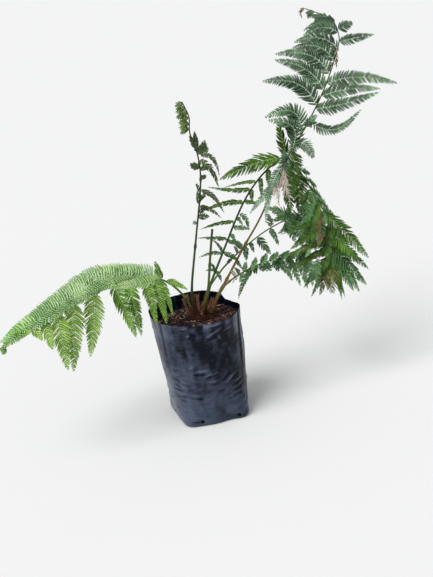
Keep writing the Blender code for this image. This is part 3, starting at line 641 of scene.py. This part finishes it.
class Finish:
    """A material of one Principled shader, built by expressions."""

    def __init__(self, name):
        self.material = bpy.data.materials.new(name)
        self.material.use_nodes = True
        self.nodes = self.material.node_tree.nodes
        self.links = self.material.node_tree.links
        self.shader = self.nodes["Principled BSDF"]

    def put(self, socket, value):
        """Links a Value to a socket, or sets a plain value on it."""
        if isinstance(value, Value):
            self.links.new(value.socket, socket)
        else:
            socket.default_value = value

    def node(self, kind, settings=None, sockets=None, out=0):
        """Adds a node, sets its settings, then its sockets, and gives one of its outputs."""
        made = self.nodes.new(kind)
        for key, value in (settings or {}).items():
            setattr(made, key, value)
        for key, value in (sockets or {}).items():
            self.put(made.inputs[key], value)
        return Value(self, made.outputs[out])

    def parts(self, vector):
        """The three parts of a vector."""
        split = self.node("ShaderNodeSeparateXYZ", None, {0: vector}).socket.node
        return [Value(self, part) for part in split.outputs]

    def place(self):
        """The point's own place, in metres."""
        return self.node("ShaderNodeTexCoord", out="Object")

    def along(self):
        """(across or round, along) of the piece's own map."""
        return self.parts(self.node("ShaderNodeUVMap", {"uv_map": "along"}))[:2]

    def scaled(self, vector, scale):
        """A vector with each part times a number of its own."""
        return self.node("ShaderNodeVectorMath", {"operation": "MULTIPLY"}, {0: vector, 1: scale})

    def noise(self, scale, detail=3.0, rough=0.55, where=None, distort=0.0):
        """Cloudy noise from 0 to 1, of about `scale` clouds a metre or a step of `where`."""
        return self.node("ShaderNodeTexNoise", None, {
            "Vector": where or self.place(), "Scale": scale, "Detail": detail,
            "Roughness": rough, "Distortion": distort})

    def mixed(self, first, second, share):
        """The first colour where share is 0 and the second where it is 1."""
        colours = {0: share, 6: first, 7: second}
        return self.node("ShaderNodeMix", {"data_type": "RGBA"}, colours, 2)

    def bumps(self, height, depth):
        """Raises the surface by a depth in metres where height is 1."""
        bump = self.node("ShaderNodeBump", None, {
            "Height": height, "Distance": depth, "Strength": 1.0})
        self.put(self.shader.inputs["Normal"], bump)

    def surface(self, **sockets):
        """Fills the shader's own sockets, an underscore standing for a space."""
        for key, value in sockets.items():
            self.put(self.shader.inputs[key.replace("_", " ")], value)
        return self.material

    def two_toned(self, deep, light, share, rough, shine):
        """A surface of the deep colour where share is 0 and the light one where it is 1."""
        return self.surface(Base_Color=self.mixed(linear(deep), linear(light), share),
                            Roughness=rough, Specular_IOR_Level=shine)


PAINTED_LIT_BAND = 0.64  # how far across a small leaf its painted lit band runs


def leaf_finish(name, deep, light, rough):
    """Leaf tissue: two greens, the light one painted down each small leaf as its lit band and
    the deep one painted as shade along its edges and at its foot, in soft patches with fine
    dimples.

    The share of light is 0.62 of a painted lit band about 0.64 of the way across, 0.12 of
    the vein, 0.16 of the way along (painted shade at the foot), and the patches and grain.
    """
    f = Finish(name)
    across, along = f.along()
    patches = f.noise(24, 2.0)
    grain = f.noise(420, 2.0)
    # The band about 0.64 of the way across is painted light; the deep green at the edges is
    # painted shade, and so is the darker foot.
    middle = 1 - abs(across - PAINTED_LIT_BAND).stepped(0.05, 0.31)
    vein = 1 - abs(across - 0.5).stepped(0.02, 0.10)
    share = (middle * 0.62 + vein * 0.12 + (patches - 0.5) * 1.1 + (grain - 0.5) * 0.5
             + along * 0.16).clamped()
    f.bumps(grain + vein * 0.6, 0.0003)
    return f.two_toned(deep, light, share, rough, 0.18)


BROWN_FOOT = (0.216, 0.256)  # heights between which a stalk's brown foot turns green
GREEN_CHANGE = (0.27, 0.46)  # and its lower green runs into its upper one


def stalk_finish(name, foot, low, high):
    """A fern's stalk: brown at its foot, then one green running into another, in fine long
    streaks with dark flecks."""
    f = Finish(name)
    around, along = f.along()
    ring = f.node("ShaderNodeCombineXYZ", None, {0: around * 9, 1: along * 2.5, 2: 0.0})
    streaks = f.noise(2.2, 3.0, 0.6, ring)
    flecks = f.noise(5.5, 2.0, 0.7, ring).stepped(0.62, 0.72)
    rise = f.parts(f.place())[2] + (streaks - 0.5) * 0.03
    body = f.mixed(linear(low), linear(high), rise.stepped(*GREEN_CHANGE))
    body = f.mixed(body, linear(np.array(low) * 0.55), streaks.stepped(0.5, 0.75) * 0.55)
    body = f.mixed(linear(foot), body, rise.stepped(*BROWN_FOOT))
    f.bumps(streaks, 0.0006)
    body = f.mixed(body, linear((58, 40, 26)), flecks * 0.6)
    return f.surface(Base_Color=body, Roughness=0.42, Specular_IOR_Level=0.28)


def film_finish():
    """Thin black film: bluish black, with dust and painted sheen that thicken to the left and
    below in soft blotches and long smears, painted highlights along its ridges, painted shade
    in its valleys, and pale specks with painted glints on its highest crests."""
    f = Finish("black_film")
    relief_and_sheen, _ = f.along()
    x, _, z = f.parts(f.place())
    # Painted sheen: lighter to the left and below, standing for the bright floor's reflection.
    left = 1 - x.stepped(-0.075, 0.03)
    low = 1 - z.stepped(0.01, 0.16)
    cloud = f.noise(16, 4.0, 0.6, distort=0.5)
    dust = f.noise(70, 4.0, 0.65)
    smear = f.noise(46, 3.0, 0.6, f.scaled(f.place(), (1.0, 1.0, 3.2)))
    marks = f.noise(250, 2.0, 0.7).stepped(0.62, 0.76)
    # Painted highlight on the ridges and painted shade in the valleys, from the map's relief.
    painted_crest_light = (relief_and_sheen - 0.5) * 2
    dust_and_sheen = (left * 0.32 + low * (left * 0.42 + 0.36) + (cloud - 0.5) * 1.3 + (dust - 0.5) * 0.8
            + (smear - 0.5) * 0.6 + painted_crest_light * 0.7 + 0.06).clamped()
    base = f.mixed(linear((7, 11, 24)), linear((74, 84, 106)), dust_and_sheen)
    # Pale specks, and painted glints on the highest crests.
    pale = marks * 0.14 + (painted_crest_light - 0.62).clamped() * 0.9
    base = f.mixed(base, linear((122, 130, 144)), pale)
    f.bumps(smear + dust * 0.5, 0.0012)
    return f.surface(Base_Color=base, Roughness=0.36, Coat_Weight=(dust_and_sheen * 0.28 + 0.03).clamped(),
                     Coat_Roughness=0.18, Specular_IOR_Level=0.10)


def bark_finish(name, deep, light):
    """Bark and peat: two browns in coarse grain, damp and rough."""
    f = Finish(name)
    coarse = f.noise(140, 3.0)
    grain = f.noise(900, 3.0, 0.7)
    share = ((coarse - 0.5) * 1.8 + (grain - 0.5) * 0.9 + 0.5).clamped()
    f.bumps(grain + coarse, 0.0012)
    return f.two_toned(deep, light, share, 0.85, 0.3)


def husk_finish(name, deep, light):
    """Dry papery scale or old leaf base: brown fibres running along it."""
    f = Finish(name)
    across, along = f.along()
    line = f.node("ShaderNodeCombineXYZ", None, {0: across * 14, 1: along * 3, 2: 0.0})
    fibres = f.noise(1.6, 3.0, 0.65, line)
    patches = f.noise(90, 2.0)
    share = ((fibres - 0.5) * 1.6 + (patches - 0.5) * 1.0 + 0.5).clamped()
    f.bumps(fibres, 0.0008)
    return f.two_toned(deep, light, share, 0.75, 0.3)


def dress(piece, material, slot, *nodes):
    """Gives a piece its finish, its body and the nodes that it stands for; the slot is not used.
    """
    piece.data.materials.append(material)
    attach(piece, "root")
    if nodes:
        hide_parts(*nodes)
    return piece


# ---------------------------------------------------------------- bag and soil
ANGLES = np.linspace(0, 2 * math.pi, BAG_SIDES, endpoint=False)


def round_from(angle):
    """Degrees from an angle to each column of the bag, from -180 to 180."""
    return (np.degrees(ANGLES) - angle + 180) % 360 - 180


def bell(away, half):
    """1 at 0, falling as exp(-(away/half)²)."""
    return np.exp(-((away / half) ** 2))


def placed(radius, centre, height):
    """Rings of points at a radius about a centre, at a height."""
    x, y = centre[:, :1] + radius * np.cos(ANGLES), centre[:, 1:] + radius * np.sin(ANGLES)
    return np.stack(np.broadcast_arrays(x, y, height), -1)


def outline(share, inset=0.0):
    """The bag's radius and centre at shares of its height.

    The foot is a superellipse, half/(|cos|^p + |sin|^p)^(1/p), and the mouth an ellipse.  The
    radius runs from the one to the other with share^0.8 while p falls from the foot's power
    to 2, and the pulls of the foot are bells that fade out by 0.45 of the height.
    """
    share = np.atleast_1d(np.asarray(share, float))[:, None]
    blend = np.clip(share, 0, 1) ** 0.8
    power = BAG_FOOT_POWER + (2.0 - BAG_FOOT_POWER) * np.minimum(1.0, share * 1.6) ** 0.7
    local = ANGLES - BAG_FOOT_TURN
    square = BAG_FOOT_HALF / (
        np.abs(np.cos(local)) ** power + np.abs(np.sin(local)) ** power) ** (1 / power)
    a, b = BAG_RIM
    mouth = a * b / np.hypot(b * np.cos(ANGLES), a * np.sin(ANGLES))
    radius = square * (1 - blend) + mouth * blend - inset
    for angle, wide, pull in BAG_PULLS:
        radius = radius + pull / 1000 * bell(round_from(angle), wide) * (
            1 - step(0.04, 0.45, share))
    centre = np.array(BAG_FOOT_CENTRE) * (1 - blend) + np.array(BAG_RIM_CENTRE) * blend
    return radius, centre


def rim_heights():
    """Height of the mouth's edge: the keys, joined straight, with a seeded ripple."""
    keys = np.array(RIM_KEYS, float)
    turn = ANGLES / (2 * math.pi)
    ripple = 0.9 * lattice(turn * 41, 0.5, 5, 41) + 1.2 * lattice(turn * 13, 0.5, 6, 13)
    return (np.interp(np.degrees(ANGLES), keys[:, 0], keys[:, 1]) + ripple) / 1000


def all_folds():
    """The folds of the table, and the seeded ones of the patches, as rows."""
    rng = np.random.default_rng(FOLD_SEED)
    rows = [np.array(FOLDS, float)]
    for angle, height, spread, tall, slope, count in FOLD_PATCHES:
        middle = angle + rng.uniform(-1, 1, count) * spread
        level = height + rng.uniform(-1, 1, count) * tall
        half = rng.uniform(5, 12, count)
        rise = half * (slope + rng.normal(0, 0.12, count))
        turn = np.degrees(half / BAG_GIRTH)
        rows.append(np.column_stack([
            middle - turn, level - rise, middle + turn, level + rise, rng.uniform(2.2, 3.6, count),
            rng.choice([-1.0, 1.0], count, p=[0.6, 0.4]) * rng.uniform(0.9, 1.7, count)]))
    return np.concatenate(rows)


def creases(height):
    """How far the film stands out (mm) at heights (rows, sides) in mm.

    It adds broad dents of smooth noise; folds, each depth*(1 - s²)*exp(-k|t|) of the distance
    s along it and t across it, with k less on one side than on the other; upright tucks; waves
    of the free edge above the mix; and three broad bells: the mouth drawn in and the belly let
    out on the right, and a hollow on the left.  All of it fades out at the foot.
    """
    turn = ANGLES / (2 * math.pi)
    out = sum(depth * lattice(turn * waves, height / tall, seed, waves)
              for depth, waves, tall, seed in DENTS)
    for angle, low, end, high, width, depth in all_folds():
        arc = np.radians(round_from((angle + end) / 2)) * BAG_GIRTH
        run, rise = math.radians((end - angle) / 2) * BAG_GIRTH, (high - low) / 2
        half = math.hypot(run, rise)
        lift = height - (low + high) / 2
        near = np.abs(lift) < abs(rise) + 14
        s = (arc * run + lift * rise) / half**2
        t = (lift * run - arc * rise) / half / width
        fade = np.where(t * depth > 0, *FOLD_FADES)
        out = out + near * depth * np.clip(1 - s * s, 0, 1) * np.exp(-np.abs(t) * fade)
    for angle, lean, deep, width, low in TUCKS:
        away = (np.degrees(ANGLES) - angle - lean * (height - 150) + 180) % 360 - 180
        out = out - deep * bell(away, width) * step(low, low + 70, height)
    waves = 1.8 * lattice(turn * 15, 0.5, 8, 15) + 0.9 * lattice(turn * 37, height / 15, 7, 37)
    out = out + step(*EDGE_WAVES, height) * waves
    for angle, wide, far, low, high in SWELLS:
        out = out + far * bell(round_from(angle), wide) * step(low, high, height)
    angle, wide, deep, level, half = HOLLOW
    out = out - deep * bell(round_from(angle), wide) * bell(height - level, half)
    return out * step(-30, 12, height)


def film_height(share):
    """Height at shares of the way from the fold of the foot up to the mouth's edge."""
    return BAG_FOLD + share[:, None] * (rim_heights() - BAG_FOLD)


def film_ring(share, inset=0.0):
    """Rings of the film's outer face at shares of the way up to the mouth's edge."""
    height = film_height(share)
    radius, centre = outline(share * (1 - FOLD_SHARE) + FOLD_SHARE, inset)
    return placed(radius + creases(height * 1000) / 1000, centre, height)


def film_map(share):
    """The film's map: (0.5 + gain*(how far it stands out, less the mean of its neighbourhood)
    + painted sheen of the sheen patches, cut to 0 and 1; share of its height).  Its first
    part paints highlights on the ridges and shade in the valleys."""
    height = film_height(share) * 1000
    out = creases(height)
    window = 2 * RELIEF_SPAN + 1
    wrapped = np.concatenate([out[:, -RELIEF_SPAN:], out, out[:, :RELIEF_SPAN]], 1)
    total = np.cumsum(np.pad(wrapped, ((0, 0), (1, 0))), 1)
    near = (total[:, window:] - total[:, :-window]) / window
    pad = np.pad(near, ((RELIEF_ROWS, RELIEF_ROWS), (0, 0)), mode="edge")
    window = 2 * RELIEF_ROWS + 1
    near = sum(pad[k:k + len(share)] for k in range(window)) / window
    side = np.degrees(ANGLES)
    dust_and_sheen = sum(
        sheen_strength * step(first - 1.5, first + 1.5, side) * (1 - step(last - 1.5, last + 1.5, side))
        * step(low - 9, low + 9, height) * (1 - step(high - 9, high + 9, height))
        for first, last, low, high, sheen_strength in SHEEN_PATCHES)
    relief = np.clip(0.5 + (out - near) * PAINTED_RELIEF_GAIN + dust_and_sheen, 0, 1)
    return np.stack(np.broadcast_arrays(relief, share[:, None]), -1)


def disc_rings(inset, height, reaches=(1.0,)):
    """Rings that shrink the foot's outline towards its middle at one height."""
    radius, centre = outline(0, inset)
    return placed(radius * np.array(reaches)[:, None], centre, height)


def fold_rings(turns, inset=0.0, lift=0.0):
    """Rings round the fold of the foot, at turns (degrees) of a quarter circle."""
    return np.concatenate([
        disc_rings(BAG_FOLD * (1 - math.sin(t)) + inset, BAG_FOLD * (1 - math.cos(t)) + lift)
        for t in np.radians(turns)])


def make_bag():
    """The film: out over the flat foot, round the fold, up the creased wall, over the mouth's
    edge, and back down inside, one film's thickness in and then out of sight."""
    shares = np.linspace(0, 1, BAG_ROWS) ** 0.95
    lip = np.linspace(1, LIP_FOOT, 20)
    floor = (0.05, 0.5, 1.0)
    rings = [disc_rings(BAG_FOLD, 0.0, floor), fold_rings((30, 60)), film_ring(shares),
             film_ring(lip, FILM), film_ring(np.linspace(0.80, 0.0, 9), LINING),
             fold_rings((60, 30), LINING, FILM), disc_rings(BAG_FOLD + LINING, FILM, floor[::-1])]
    flat = [np.full((*part.shape[:2], 2), 0.5) for part in rings]
    flat[2], flat[3] = film_map(shares), np.clip(film_map(lip) - (0.4, 0), 0, 1)
    flat[4][..., 0] = 0.1
    bag = skins("film_bag", [(np.concatenate(rings), np.concatenate(flat))])
    dress(bag, film_finish(), "bag_film", "bag")
    plugs = skins("drain_holes", [hole_ring(angle, height) for angle, height in HOLES])
    # The plugs are painted shade: near black, standing for the dark inside of each hole.
    f = Finish("hole_shade")
    dark = f.two_toned((4, 4, 5), (14, 13, 14), f.noise(300, 2.0), 0.9, 0.1)
    dress(plugs, dark, "bark_mix")


def hole_ring(angle, height):
    """A drain hole's mouth: a short flat plug in the film, painted near black as the shade
    inside the hole, square to its surface, whose normal is (along the ring) x (up the wall)."""
    k = int(round((angle % 360) / 360 * BAG_SIDES)) % BAG_SIDES
    share = (height - BAG_FOLD) / (HOLE_WALL - BAG_FOLD)
    below, level, above = film_ring(np.array([share - 0.02, share, share + 0.02]))
    out = unit(np.cross(level[(k + 4) % BAG_SIDES] - level[k - 4], above[k] - below[k]))
    return tube(level[k] + np.outer(HOLE_DEPTHS, out), np.full(len(HOLE_DEPTHS), HOLE_RADIUS), 20)


def soil_height(x, y):
    """The mix's surface: top - drop*far², with far 1 near the film, and lumps of three sizes."""
    far = np.hypot((x - CROWN_CENTRE[0]) / SOIL_HALF[0], (y - CROWN_CENTRE[1]) / SOIL_HALF[1])
    lumps = sum(size * lattice(x * waves + start, y * waves + start, seed)
                for size, waves, start, seed in SOIL_LUMPS)
    return SOIL_TOP - (SOIL_TOP - SOIL_EDGE) * far**2 + lumps / 1000


def soil_edge():
    """The ring where the mix's top meets the film."""
    share = (SOIL_EDGE - BAG_FOLD) / (rim_heights() - BAG_FOLD)
    return film_ring(np.array([share.mean()]), FILM + 0.0006)[0]


def make_soil():
    """The mix: flat under the bag's foot, up inside the film, and in over its lumpy top."""
    under = disc_rings(BAG_FOLD + SOIL_INSET, 0.0012, (0.05, 1.0))
    wall = film_ring(np.linspace(0, 0.80, 24), SOIL_INSET)
    wall[..., 2] = np.minimum(wall[..., 2], SOIL_EDGE - 0.004)
    reach = np.linspace(1, 0.02, 70)[:, None, None]
    flat = np.array(CROWN_CENTRE) + (soil_edge()[None, :, :2] - CROWN_CENTRE) * reach
    top = np.concatenate([flat, soil_height(flat[..., 0], flat[..., 1])[..., None]], -1)
    soil = skins("bark_mix", [(np.concatenate([under, wall, top]), None)])
    dress(soil, bark_finish("peat", (16, 11, 13), (50, 35, 38)), "bark_mix", "soil")


def scattered(rng, count, clear):
    """Seeded places on the mix's top, kept clear of the film and off the crown's middle."""
    edge = soil_edge()[:, :2] - CROWN_CENTRE
    pick = rng.integers(0, BAG_SIDES, count)
    far = np.sqrt(rng.uniform(0.06, 1, count))[:, None]
    room = 1 - clear / np.linalg.norm(edge[pick], axis=1, keepdims=True)
    flat = np.array(CROWN_CENTRE) + edge[pick] * far * room
    return np.column_stack([flat, soil_height(flat[:, 0], flat[:, 1])])


CHIP_SEED = 31
CHIP_CLEAR = 0.007  # room that a chip's middle keeps from the film
# name, number, deep and light colour, lengths and half widths (mm)
CHIPS = (
    ("chips_dark", 1000, (20, 14, 17), (64, 42, 43), (3, 11), (0.8, 2.2)),
    ("chips_red", 360, (52, 33, 33), (112, 78, 70), (4, 14), (0.7, 2.0)),
    ("chips_tan", 230, (130, 96, 80), (212, 172, 150), (6, 16), (0.6, 1.5)),
)


def make_chips():
    """Chips of bark, three browns, thrown flat or leaning on the mix."""
    rng = np.random.default_rng(CHIP_SEED)
    for name, count, deep, light, lengths, halves in CHIPS:
        length = rng.uniform(*lengths, count) / 1000
        half = rng.uniform(*halves, count) / 1000
        yaw = rng.uniform(0, 2 * math.pi, count)
        lean = rng.normal(0, 0.22, count)
        along = unit(np.column_stack([np.cos(yaw), np.sin(yaw), lean]))
        top = unit(np.column_stack([rng.normal(0, 0.3, (count, 2)), np.ones(count)]))
        top = square_to(along, top)
        foot = scattered(rng, count, CHIP_CLEAR) - along * length[:, None] / 2
        foot[:, 2] += rng.uniform(0.0002, 0.0016, count)
        chips = Blades(foot, along, top, length, half, rng.normal(0, 0.12, count),
                       rng.normal(0, 0.08, count))
        piece = blades(name, chips, CHIP, fold=-0.15, thick=0.75, least=0.0006, sharp=40)
        dress(piece, bark_finish(name, deep, light), "bark_mix")


# ---------------------------------------------------------------- crown and stalks
def frond_path(frond):
    """The frond's curve from the crown to its tip, in metres."""
    return smooth_path(np.array(frond.path) / 1000, PATH_POINTS)


def stalk_radii(frond, places):
    """Radii at places of the stalk: a quick taper out of the crown, then a slow one."""
    foot, blade, tip = (r / 1000 * share for r, share in zip(frond.radius, STALK_SHARES))
    first = max(frond.first / 100, 0.25)
    return np.interp(places, (0, first * 0.3, first, 1),
                     (foot, (foot + 2 * blade) / 3, blade, tip))


def lying_scales(rng, path, radii, count, lengths, spread):
    """Scales that lie up a stalk: feet 0.92 radii out at seeded angles, pointing along it and
    outwards by up to the spread."""
    at = rng.uniform(0, 1, count)
    place = along_path(path, at)
    along = unit(along_path(np.gradient(path, axis=0), at))
    out = square_to(along, unit(rng.normal(0, 1, (count, 3))))
    radius = np.interp(at, np.linspace(0, 1, len(radii)), radii)[:, None]
    lean = rng.uniform(0.05, spread, (count, 1))
    pointing = unit(along + out * lean)
    top = square_to(pointing, out)
    length = rng.uniform(*lengths, count) / 1000 * (1 - 0.4 * at)
    return Blades(place + out * radius * 0.92, pointing, top, length,
                  rng.uniform(0.35, 0.8, count) / 1000, rng.normal(0, 0.15, count),
                  rng.uniform(-0.3, 0.15, count))


def standing_scales(rng, count):
    """Scales that stand up out of the crown's mound, at seeded places and leans."""
    around = rng.uniform(0, 2 * math.pi, count)
    up = np.arcsin(rng.uniform(0.02, 1, count))
    flat = np.column_stack([np.cos(around), np.sin(around)])
    foot = np.array([*CROWN_CENTRE, CROWN_FLOOR]) + np.column_stack(
        [flat * np.cos(up)[:, None], np.sin(up)]) * CROWN_HALF * 0.97
    along = unit(np.column_stack([flat * 0.55 + rng.normal(0, 0.35, (count, 2)),
                                  rng.uniform(0.25, 1.1, count)]))
    top = square_to(along, unit(rng.normal(0, 1, (count, 3))))
    return Blades(foot, along, top, rng.uniform(4, 11, count) / 1000,
                  rng.uniform(0.4, 1.0, count) / 1000, rng.normal(0, 0.2, count),
                  rng.normal(0, 0.25, count))


def make_crown():
    """The crown: a lumpy mound, centre + half*(cos r cos a, cos r sin a, sin r)*lump, with
    papery scales on it and up the stalks' feet, and the fibrous stubs of old leaf bases."""
    rng = np.random.default_rng(CROWN_SEED)
    a = np.linspace(0, 2 * math.pi, 72, endpoint=False)
    rise = np.linspace(-0.25, math.pi / 2 - 0.06, 22)[:, None]
    lump = 1 + 0.10 * lattice(a / (2 * math.pi) * 13, rise * 4, 42, 13)
    mound = np.stack(np.broadcast_arrays(
        CROWN_CENTRE[0] + CROWN_HALF[0] * np.cos(rise) * np.cos(a) * lump,
        CROWN_CENTRE[1] + CROWN_HALF[1] * np.cos(rise) * np.sin(a) * lump,
        CROWN_FLOOR + CROWN_HALF[2] * np.sin(rise) * lump), -1)
    crown = skins("crown_mound", [(mound, None)])
    dress(crown, bark_finish("crown_fibre", (28, 15, 13), (76, 42, 34)), "crown_scales", "crown")

    parts = []
    for frond in FRONDS.values():
        path = frond_path(frond)
        back = -unit(path[3] - path[0])
        foot = smooth_path(np.vstack([path[0] + back * 0.015, path[0], path[12]]), 30)
        radii = np.full(30, frond.radius[0] / 1000 * 0.7)
        parts.append(lying_scales(rng, foot, radii, SCALES_ON_STALK, (5, 12), 0.22))
    parts.append(standing_scales(rng, SCALES_ON_MOUND))
    scales = blades("crown_scales", gathered(parts), PLAIN, fold=0.4)
    dress(scales, husk_finish("scale_brown", (56, 26, 20), (136, 72, 52)), "crown_scales")

    stubs, fibres = [], []
    for low, high, radius in STUBS:
        low, high = np.array(low) / 1000, np.array(high) / 1000
        bend = unit(np.cross(high - low, (0.3, 1, 0))) * 0.0015
        path = smooth_path([low - (high - low) * 0.1, (low + high) / 2 + bend, high], 26)
        radii = np.linspace(radius * 1.05, radius * 0.8, 26) / 1000
        radii[-1] *= 0.55
        stubs.append(tube(path, radii, STALK_SIDES, groove=0.25, seed=int(radius * 50)))
        tip = along_path(path, np.linspace(0.75, 1, 8))
        fibres.append(lying_scales(rng, tip, radii[-8:] * 1.1, FIBRES_ON_STUB, (4, 9), 0.2))
    dress(skins("old_leaf_bases", stubs),
          husk_finish("base_brown", (88, 54, 44), (190, 132, 108)), "crown_scales")
    dress(blades("base_fibres", gathered(fibres), PLAIN),
          husk_finish("fibre_brown", (96, 60, 46), (190, 140, 112)), "crown_scales")


def make_stalk(name, frond):
    """The stalk from inside the crown to the frond's tip, grooved along its upper side, with
    knots that swell it by exp(-(distance/half)²)."""
    path = frond_path(frond)
    start = path[0] - np.outer((0.016, 0.008), unit(path[3] - path[0]))
    places = np.linspace(0, 1, STALK_ROWS)
    line = np.vstack([start, along_path(path, places)])
    radii = stalk_radii(frond, places)
    radii = np.r_[radii[0] * 1.12, radii[0] * 1.06, radii]
    for place in KNOTS.get(name, ()):
        away = (np.r_[-0.02, -0.01, places] - place) * path_length(path)
        radii = radii + KNOT_SWELL * bell(away, KNOT_HALF)
    piece = skins(name + "_stalk", [tube(line, radii, STALK_SIDES, groove=0.22, seed=len(name))])
    slot = "golden_stem" if name == "tall" else "green_stem"
    dress(piece, stalk_finish(name + "_stalk", *STALK_TINTS[name]), slot, name + "_stem")


# ---------------------------------------------------------------- leaflets
def leaflets_of(name):
    """(cut, rib, facing, half width) of every leaflet of a frond."""
    path = frond_path(FRONDS[name])
    for owner, facing, *groups in LEAFLETS:
        for cut, count, *rows in groups if owner == name else ():
            keys = np.array(rows, float)
            if count != EACH:
                places = np.linspace(keys[0, 0], keys[-1, 0], count)
                keys = np.stack([np.interp(places, keys[:, 0], column) for column in keys.T], 1)
            for place, x, y, z, rise, width in keys:
                foot = along_path(path, [place / 100])[0]
                rib = arched(foot, np.array([x, y, z]) / 1000, rise / 100)
                yield cut, rib, np.array(facing), width / 1000


def small_leaves(rib, facing, half_width, cut, rng):
    """The small leaves on both sides of one leaflet.

    They stand a pitch apart on its rib, and reach as far as the leaflet is wide there: half
    width * min(1, 0.5 + 0.5*t/0.14) * (1-t)^0.75 * wide.  They lean by sweep + 14°*t towards
    its tip, and get narrower with the cosine of that, so that their gaps stay even.  Reach,
    lean, bend and droop each have a seeded spread.
    """
    length = path_length(rib)
    count = max(5, int(length * 1000 / cut.pitch))

    def spread(low, high, share=cut.ragged):
        return 1 + share * rng.uniform(low, high, count)

    blocks = []
    along_all = unit(np.gradient(rib, axis=0))
    normal_all = square_to(along_all, facing)
    for hand in (-1, 1):
        t = np.arange(count) + 0.7 + 0.25 * (hand > 0) + rng.uniform(-0.15, 0.15, count)
        t = np.clip(t / (count + 0.9), 0, 0.995)
        place = along_path(rib, t)
        along = unit(along_path(along_all, t))
        normal = unit(along_path(normal_all, t))
        side = np.cross(along, normal) * hand
        reach = half_width * np.minimum(1, 0.5 + 0.5 * t / 0.14) * (1 - t) ** 0.75
        reach = np.maximum(reach, half_width * 0.08) * cut.wide * spread(-1, 0.4)
        even_lean = np.radians(cut.sweep + 14 * t)
        lean = even_lean * spread(-1, 1)
        tilt = rng.normal(0, 0.10 + cut.ragged * 0.8, count)[:, None]
        pointing = unit(side * np.cos(lean)[:, None] + along * np.sin(lean)[:, None]
                        + normal * tilt * 0.5)
        top = square_to(pointing, normal + along * (0.22 + tilt))
        curve = hand * cut.curve * spread(-1, 1, 0.3)
        droop = cut.droop * spread(-1, 1, cut.ragged * 2)
        half = length / count * cut.fill / 2 * np.minimum(1, 0.45 + reach / (half_width * 0.8))
        half *= np.cos(even_lean) / math.cos(math.radians(cut.sweep + 3))
        blocks.append(Blades(place, pointing, top, reach / np.cos(lean), half, curve, droop,
                             np.full(count, float(hand))))
    return gathered(blocks)


def make_leaflets(name):
    """Every leaflet of a frond: its ribs as one piece, its small leaves one piece a kind.
    A rib is 0.25 + 0.55*(1 - t) mm thick, and less on leaflets under 70 mm long."""
    rng = np.random.default_rng(sum(map(ord, name)))
    t = np.linspace(0, 1, RIB_ROWS)
    ribs, kinds = [], {}
    for cut, rib, facing, half_width in leaflets_of(name):
        thick = (0.25 + 0.55 * (1 - t)) * min(1.0, path_length(rib) / 0.07) / 1000
        ribs.append(tube(along_path(rib, t), thick, RIB_SIDES, up=facing))
        kinds.setdefault(cut, []).append(small_leaves(rib, facing, half_width, CUTS[cut], rng))
    blade_nodes = [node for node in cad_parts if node.startswith(name + "_blade")]
    slot = name + "_leaf"
    low, high = RIB_TINTS[name]
    dress(skins(name + "_ribs", ribs), stalk_finish(name + "_rib", low, low, high), slot)
    for cut, parts in kinds.items():
        piece = blades(f"{name}_{cut}_leaves", gathered(parts), LOBED, fold=CUTS[cut].fold)
        tint = leaf_finish(f"{name}_{cut}", CUTS[cut].deep, CUTS[cut].light, CUTS[cut].rough)
        dress(piece, tint, slot, *blade_nodes)
        blade_nodes = ()  # the first kind stands for the blades


# ---------------------------------------------------------------- stage
def in_place(thing, axes, place=(0, 0, 0)):
    """Puts a light or camera in the scene, with its own X, Y and Z along the axes."""
    made = bpy.data.objects.new(thing.name, thing)
    turn = Matrix(np.column_stack(axes).tolist()).to_4x4()
    made.matrix_world = Matrix.Translation(place) @ turn
    bpy.context.scene.collection.objects.link(made)
    return made


def make_stage():
    """A pale floor, an even sky, a soft key from the upper left and the camera."""
    corners = [(-FLOOR_HALF, -FLOOR_HALF, 0), (FLOOR_HALF, -FLOOR_HALF, 0),
               (FLOOR_HALF, FLOOR_HALF, 0), (-FLOOR_HALF, FLOOR_HALF, 0)]
    floor = as_piece("floor", corners, [(0, 1, 2, 3)])
    f = Finish("pale_floor")
    floor.data.materials.append(f.surface(Base_Color=linear((238, 238, 237)), Roughness=0.9,
                                          Specular_IOR_Level=0.1))
    sky = bpy.data.worlds.new("sky")
    sky.use_nodes = True
    light = sky.node_tree.nodes["Background"].inputs
    light["Color"].default_value = (0.97, 0.99, 1.0, 1)
    light["Strength"].default_value = SKY_STRENGTH
    bpy.context.scene.world = sky

    key = bpy.data.lights.new("key", "SUN")
    key.energy, key.angle = KEY_STRENGTH, KEY_WIDTH
    back = unit(KEY_FROM)
    side = unit(np.cross((0, 0, 1), back))
    in_place(key, (side, np.cross(back, side), back))

    level = np.array([1.0, 0, 0])
    ahead = np.array([0, math.cos(CAMERA_PITCH), -math.sin(CAMERA_PITCH)])
    upward = np.array([0, math.sin(CAMERA_PITCH), math.cos(CAMERA_PITCH)])
    right = math.cos(CAMERA_ROLL) * level - math.sin(CAMERA_ROLL) * upward
    up = math.cos(CAMERA_ROLL) * upward + math.sin(CAMERA_ROLL) * level
    camera = bpy.data.cameras.new("camera")
    camera.lens, camera.sensor_width, camera.clip_end = CAMERA_LENS, 36.0, 100
    bpy.context.scene.camera = in_place(camera, (right, up, -ahead), CAMERA_PLACE)
    bpy.context.scene.view_settings.view_transform = "Standard"


def main():
    """Makes every piece."""
    make_bag()
    make_soil()
    make_chips()
    make_crown()
    for name, frond in FRONDS.items():
        make_stalk(name, frond)
        if frond.first:
            make_leaflets(name)
    make_stage()


main()
